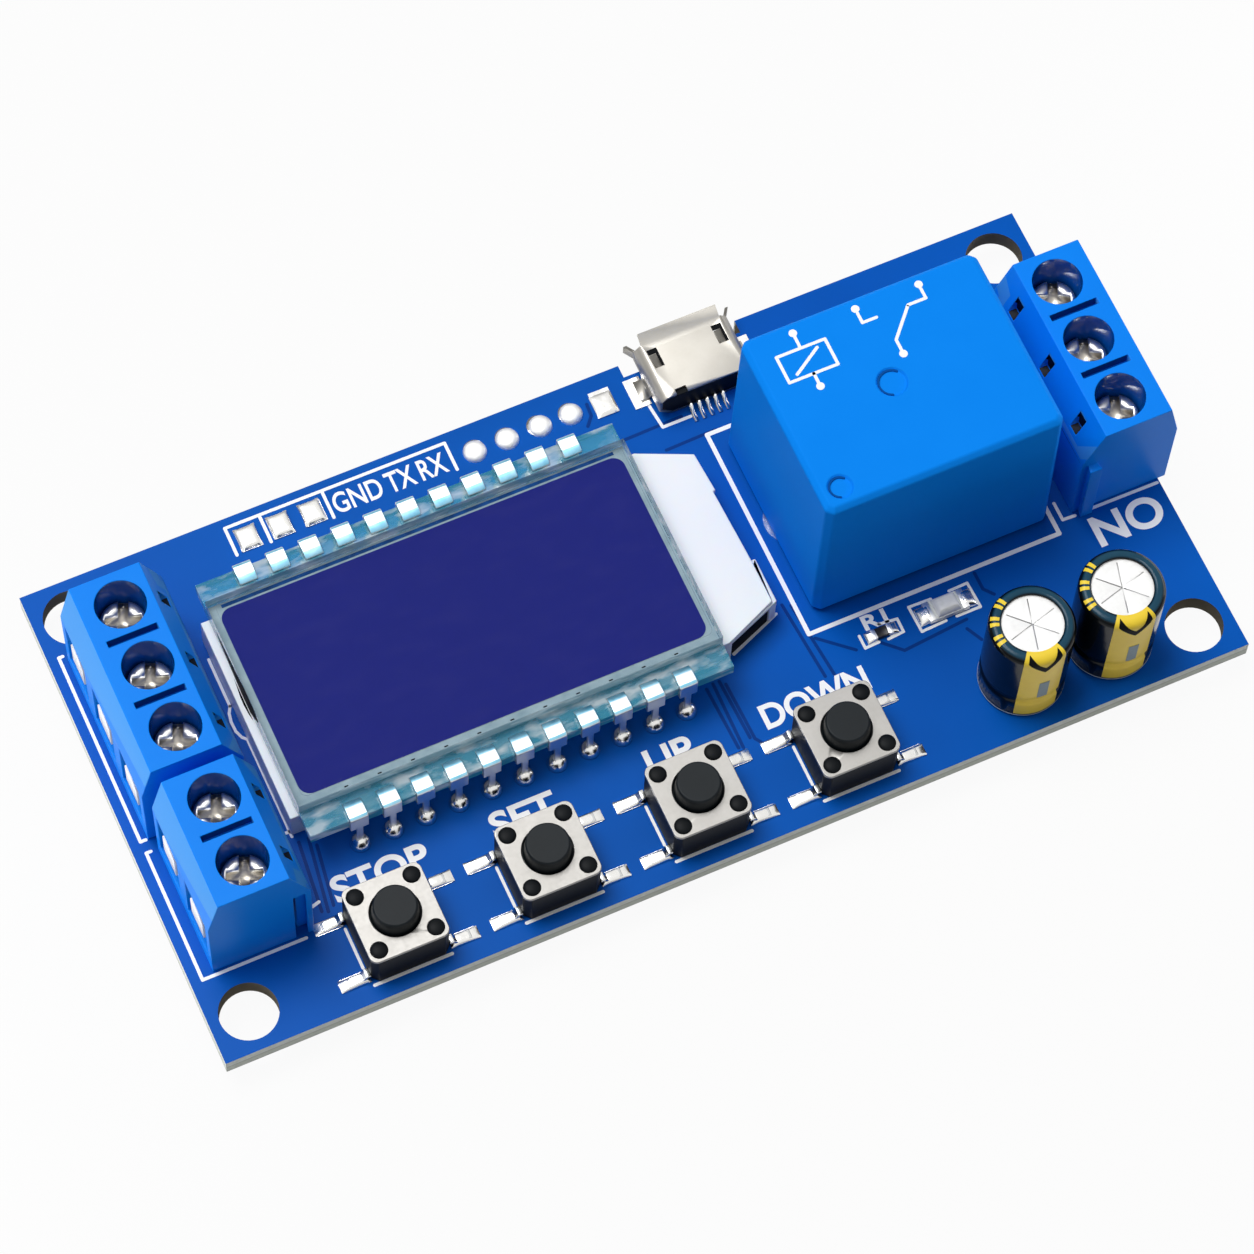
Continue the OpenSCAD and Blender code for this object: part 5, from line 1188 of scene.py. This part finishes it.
# Each outline is its line's width and the points on the board that it goes through
OUTLINES = (
    # Terminal blocks
    (INK_LINE, (-38.85, 13.93), (-39.15, 13.93), (-39.15, -1.68), (-38.75, -1.68)),
    (INK_LINE, (-38.75, -2.64), (-39.1, -2.64), (-39.1, -13.1), (-31.25, -13.1)),
    (INK_LINE, (-29.57, -5.17), (-28.95, -5.21)), (INK_LINE, (-29.95, -11.1), (-29.4, -10.95)),
    (INK_LINE, (32.07, -3.65), (32.07, -5.1), (33.04, -5.15)), (INK_LINE, (34.11, -5.1), (39.8, -5.15)),
    # Relay
    (RELAY_LINE, (11.1, 11.65), (11.1, -6.0), (31.35, -6.0), (31.35, 11.65), (11.1, 11.65)),
    # Display and its backlight
    (FINE_LINE, (-29.35, 9.5), (-29.35, 5.5)),
    (FINE_LINE, (-29.35, 5.5), (-29.62, 5.0), (-29.75, 4.3), (-29.72, 3.5), (-29.5, 2.9), (-29.2, 2.6)),
    (FINE_LINE, (-29.2, 2.6), (-29.2, -5.6)), (INK_LINE, (9.6, -3.57), (5.47, -5.25)),
    # Indicator light and chip resistor
    (FINE_LINE, (20.4, -7.0), (18.65, -6.95), (18.7, -9.1), (20.67, -9.0)),
    (FINE_LINE, (21.9, -6.95), (23.4, -6.9), (23.47, -9.0), (21.56, -9.0)),
    (FINE_LINE, (14.37, -7.6), (14.37, -8.65), (15.48, -8.6)),
    (FINE_LINE, (16.07, -7.3), (17.49, -7.45), (17.47, -8.56), (16.22, -8.66)),
    # Pads along the back edge, and the socket
    (INK_LINE, (-24.29, 16.4), (-24.29, 18.75), (-6.87, 18.75), (-6.87, 16.4)),
    (INK_LINE, (-21.6, 18.75), (-21.6, 16.4)), (INK_LINE, (-16.66, 18.75), (-16.66, 16.4)),
    (INK_LINE, (8.2, 15.5), (8.39, 13.53), (10.65, 13.53)),
)

outlines = bmesh.new()
for button in BUTTONS:
    low, high = box_mm(button + "_plunger")
    x = (low.x + high.x) / 2
    add_line(outlines, (x - BUTTON_HALF, BUTTON_FRONT), (x + BUTTON_HALF, BUTTON_FRONT), INK_LINE)
    add_line(outlines, (x - BUTTON_LEFT, BUTTON_SIDE[0]), (x - BUTTON_LEFT, BUTTON_SIDE[1]), FINE_LINE)
for width, *points in OUTLINES:
    add_path(outlines, points, width)
new_piece("board_outlines", outlines, white_ink)

# %% [markdown]
# ## Diagram on the relay
# The top of a relay carries a plain diagram of what is inside: a coil, and a contact that swings between
# two others. It uses the same lines as the board, on the case's top. A line of no length is a dot.

# %% Diagram on the relay
DIAGRAM_LINE = 0.24
LINE_HEIGHT = PRINT_ROOM / 2
DOT = 0.62
DOT_HEIGHT = PRINT_ROOM * 0.8
DIAGRAM = (
    ((-7.4, 3.0), (-3.6, 3.0), (-3.6, 5.2), (-7.4, 5.2), (-7.4, 3.0)), ((-6.6, 3.4), (-4.4, 4.8)),
    ((-5.5, 5.2), (-5.5, 6.5)), ((-5.5, 3.0), (-5.5, 1.9)), ((1.0, 1.9), (1.0, 3.1), (2.9, 5.2)),
    ((-0.6, 6.5), (-0.6, 5.3), (0.5, 5.3)), ((4.4, 6.5), (4.4, 5.3), (3.0, 5.3)),
)
DOTS = ((-5.5, 6.5), (-5.5, 1.9), (1.0, 1.9), (-0.6, 6.5), (4.4, 6.5))

case_low, case_high = box_mm("relay_case")
case_middle = (case_low + case_high) / 2
case_top = case_high.z - PRINT_ROOM
diagram = bmesh.new()
for points in DIAGRAM:
    moved = [(case_middle.x + x, case_middle.y + y) for x, y in points]
    add_path(diagram, moved, DIAGRAM_LINE, LINE_HEIGHT, case_top)
for x, y in DOTS:
    spot = (case_middle.x + x, case_middle.y + y)
    add_line(diagram, spot, spot, DOT, DOT_HEIGHT, case_top)
new_piece("relay_diagram", diagram, white_ink)

# %% [markdown]
# ## Shade in the relay's dimples
# The case's top has two shallow dimples. In the photo their walls on the lamp's side are dark, but so low a
# wall hardly shows under a soft lamp. An arc of deeper blue along it draws its shade.

# %% Shade in the relay's dimples
DIMPLE_DEPTH = 0.2
DIMPLE_LINE = 0.14
# The middle and the radius of each dimple
DIMPLES = ((case_middle.x - 0.7, case_middle.y + 0.2, 0.98), (case_low.x + 1.9, case_low.y + 1.9, 0.78))
SHADE_TURNS = range(45, 261, 12)

shade = bmesh.new()
for x, y, radius in DIMPLES:
    arc = []
    for turn in SHADE_TURNS:
        angle = math.radians(turn)
        arc.append((x + radius * math.cos(angle), y + radius * math.sin(angle)))
    add_path(shade, arc, DIMPLE_LINE, DIMPLE_DEPTH / 2, case_top - DIMPLE_DEPTH)
new_piece("relay_dimple_shade", shade, dimple_blue)

# %% [markdown]
# ## Gaps between copper areas
# Where two copper areas part, the board shows darker through the mask. The gaps are drawn like the
# outlines, in a deeper blue and thinner than the ink, so that print runs over them.

# %% Gaps between copper areas
TRACE_GAP = 0.26
GAP_HEIGHT = 0.01
GAPS = (
    ((2.5, -7.0), (2.67, -12.1)), ((3.09, -6.8), (3.0, -12.2)), ((3.59, -6.8), (3.76, -11.7)),
    ((3.93, -7.2), (4.05, -11.9), (4.6, -12.7)),
    ((10.3, -3.1), (10.76, -9.5)), ((10.89, -3.4), (11.43, -9.6)), ((11.38, -6.46), (13.7, -8.5)),
    ((-28.93, -6.2), (-29.48, -11.7)), ((-28.18, -6.2), (-29.06, -11.9)), ((-27.84, -6.9), (-28.54, -11.6)),
    ((5.24, 13.7), (10.0, 13.8)), ((7.85, 11.7), (11.83, 11.8)), ((4.02, 17.5), (3.94, 16.5), (3.36, 15.8)),
    ((24.24, -6.4), (24.25, -7.8), (24.82, -8.5)), ((21.8, -10.2), (22.4, -11.4)),
    ((15.4, -8.5), (16.9, -9.94), (22.1, -9.5)),
)
gaps = bmesh.new()
for points in GAPS:
    add_path(gaps, points, TRACE_GAP, GAP_HEIGHT)
new_piece("trace_gaps", gaps, gap_blue)

# %% [markdown]
# ## Words on the board
# Plain words say what each button and pad is for. A word is set as a text curve, made a flat mesh and then
# fitted to its box on the board. An offset makes the strokes bolder, as printed ink is.

# %% Words on the board
WORDS = (
    ("STOP", (-28.2, -11.7), (-20.9, -9.6)),
    ("SET", (-16.0, -11.7), (-11.0, -9.6)),
    ("UP", (-3.9, -11.7), (-0.3, -9.6)),
    ("DOWN", (5.2, -11.7), (13.5, -9.7)),
    ("GND", (-16.3, 16.5), (-12.5, 18.2)),
    ("TX", (-12.1, 16.5), (-9.9, 18.2)),
    ("RX", (-9.5, 16.5), (-7.4, 18.2)),
    ("NO", (33.7, -8.3), (39.2, -5.75)),
    ("R1", (15.0, -7.45), (16.9, -6.25)),
)
STROKE = 0.028
FINE_STROKE = 0.016
SMALL_WORD = 1.9
TINY_WORD = 1.4


def add_word(shape, word, low, high):
    """Sets a word into a box on the board, as a thin layer of ink."""
    text = bpy.data.curves.new("word", "FONT")
    text.body = word
    small = TINY_WORD < high[1] - low[1] < SMALL_WORD
    text.offset = FINE_STROKE if small else STROKE
    part = flat_part(text)
    xs = [vert.co.x for vert in part.verts]
    ys = [vert.co.y for vert in part.verts]
    fit = ((high[0] - low[0]) / (max(xs) - min(xs)), (high[1] - low[1]) / (max(ys) - min(ys)), 1)
    bmesh.ops.translate(part, vec=(-min(xs), -min(ys), 0), verts=part.verts)
    bmesh.ops.scale(part, vec=fit, verts=part.verts)
    pull_up(part, INK)
    bmesh.ops.translate(part, vec=(low[0], low[1], BOARD_TOP), verts=part.verts)
    merge_in(shape, part)


words = bmesh.new()
for word, low, high in WORDS:
    add_word(words, word, low, high)
new_piece("board_words", words, white_ink)
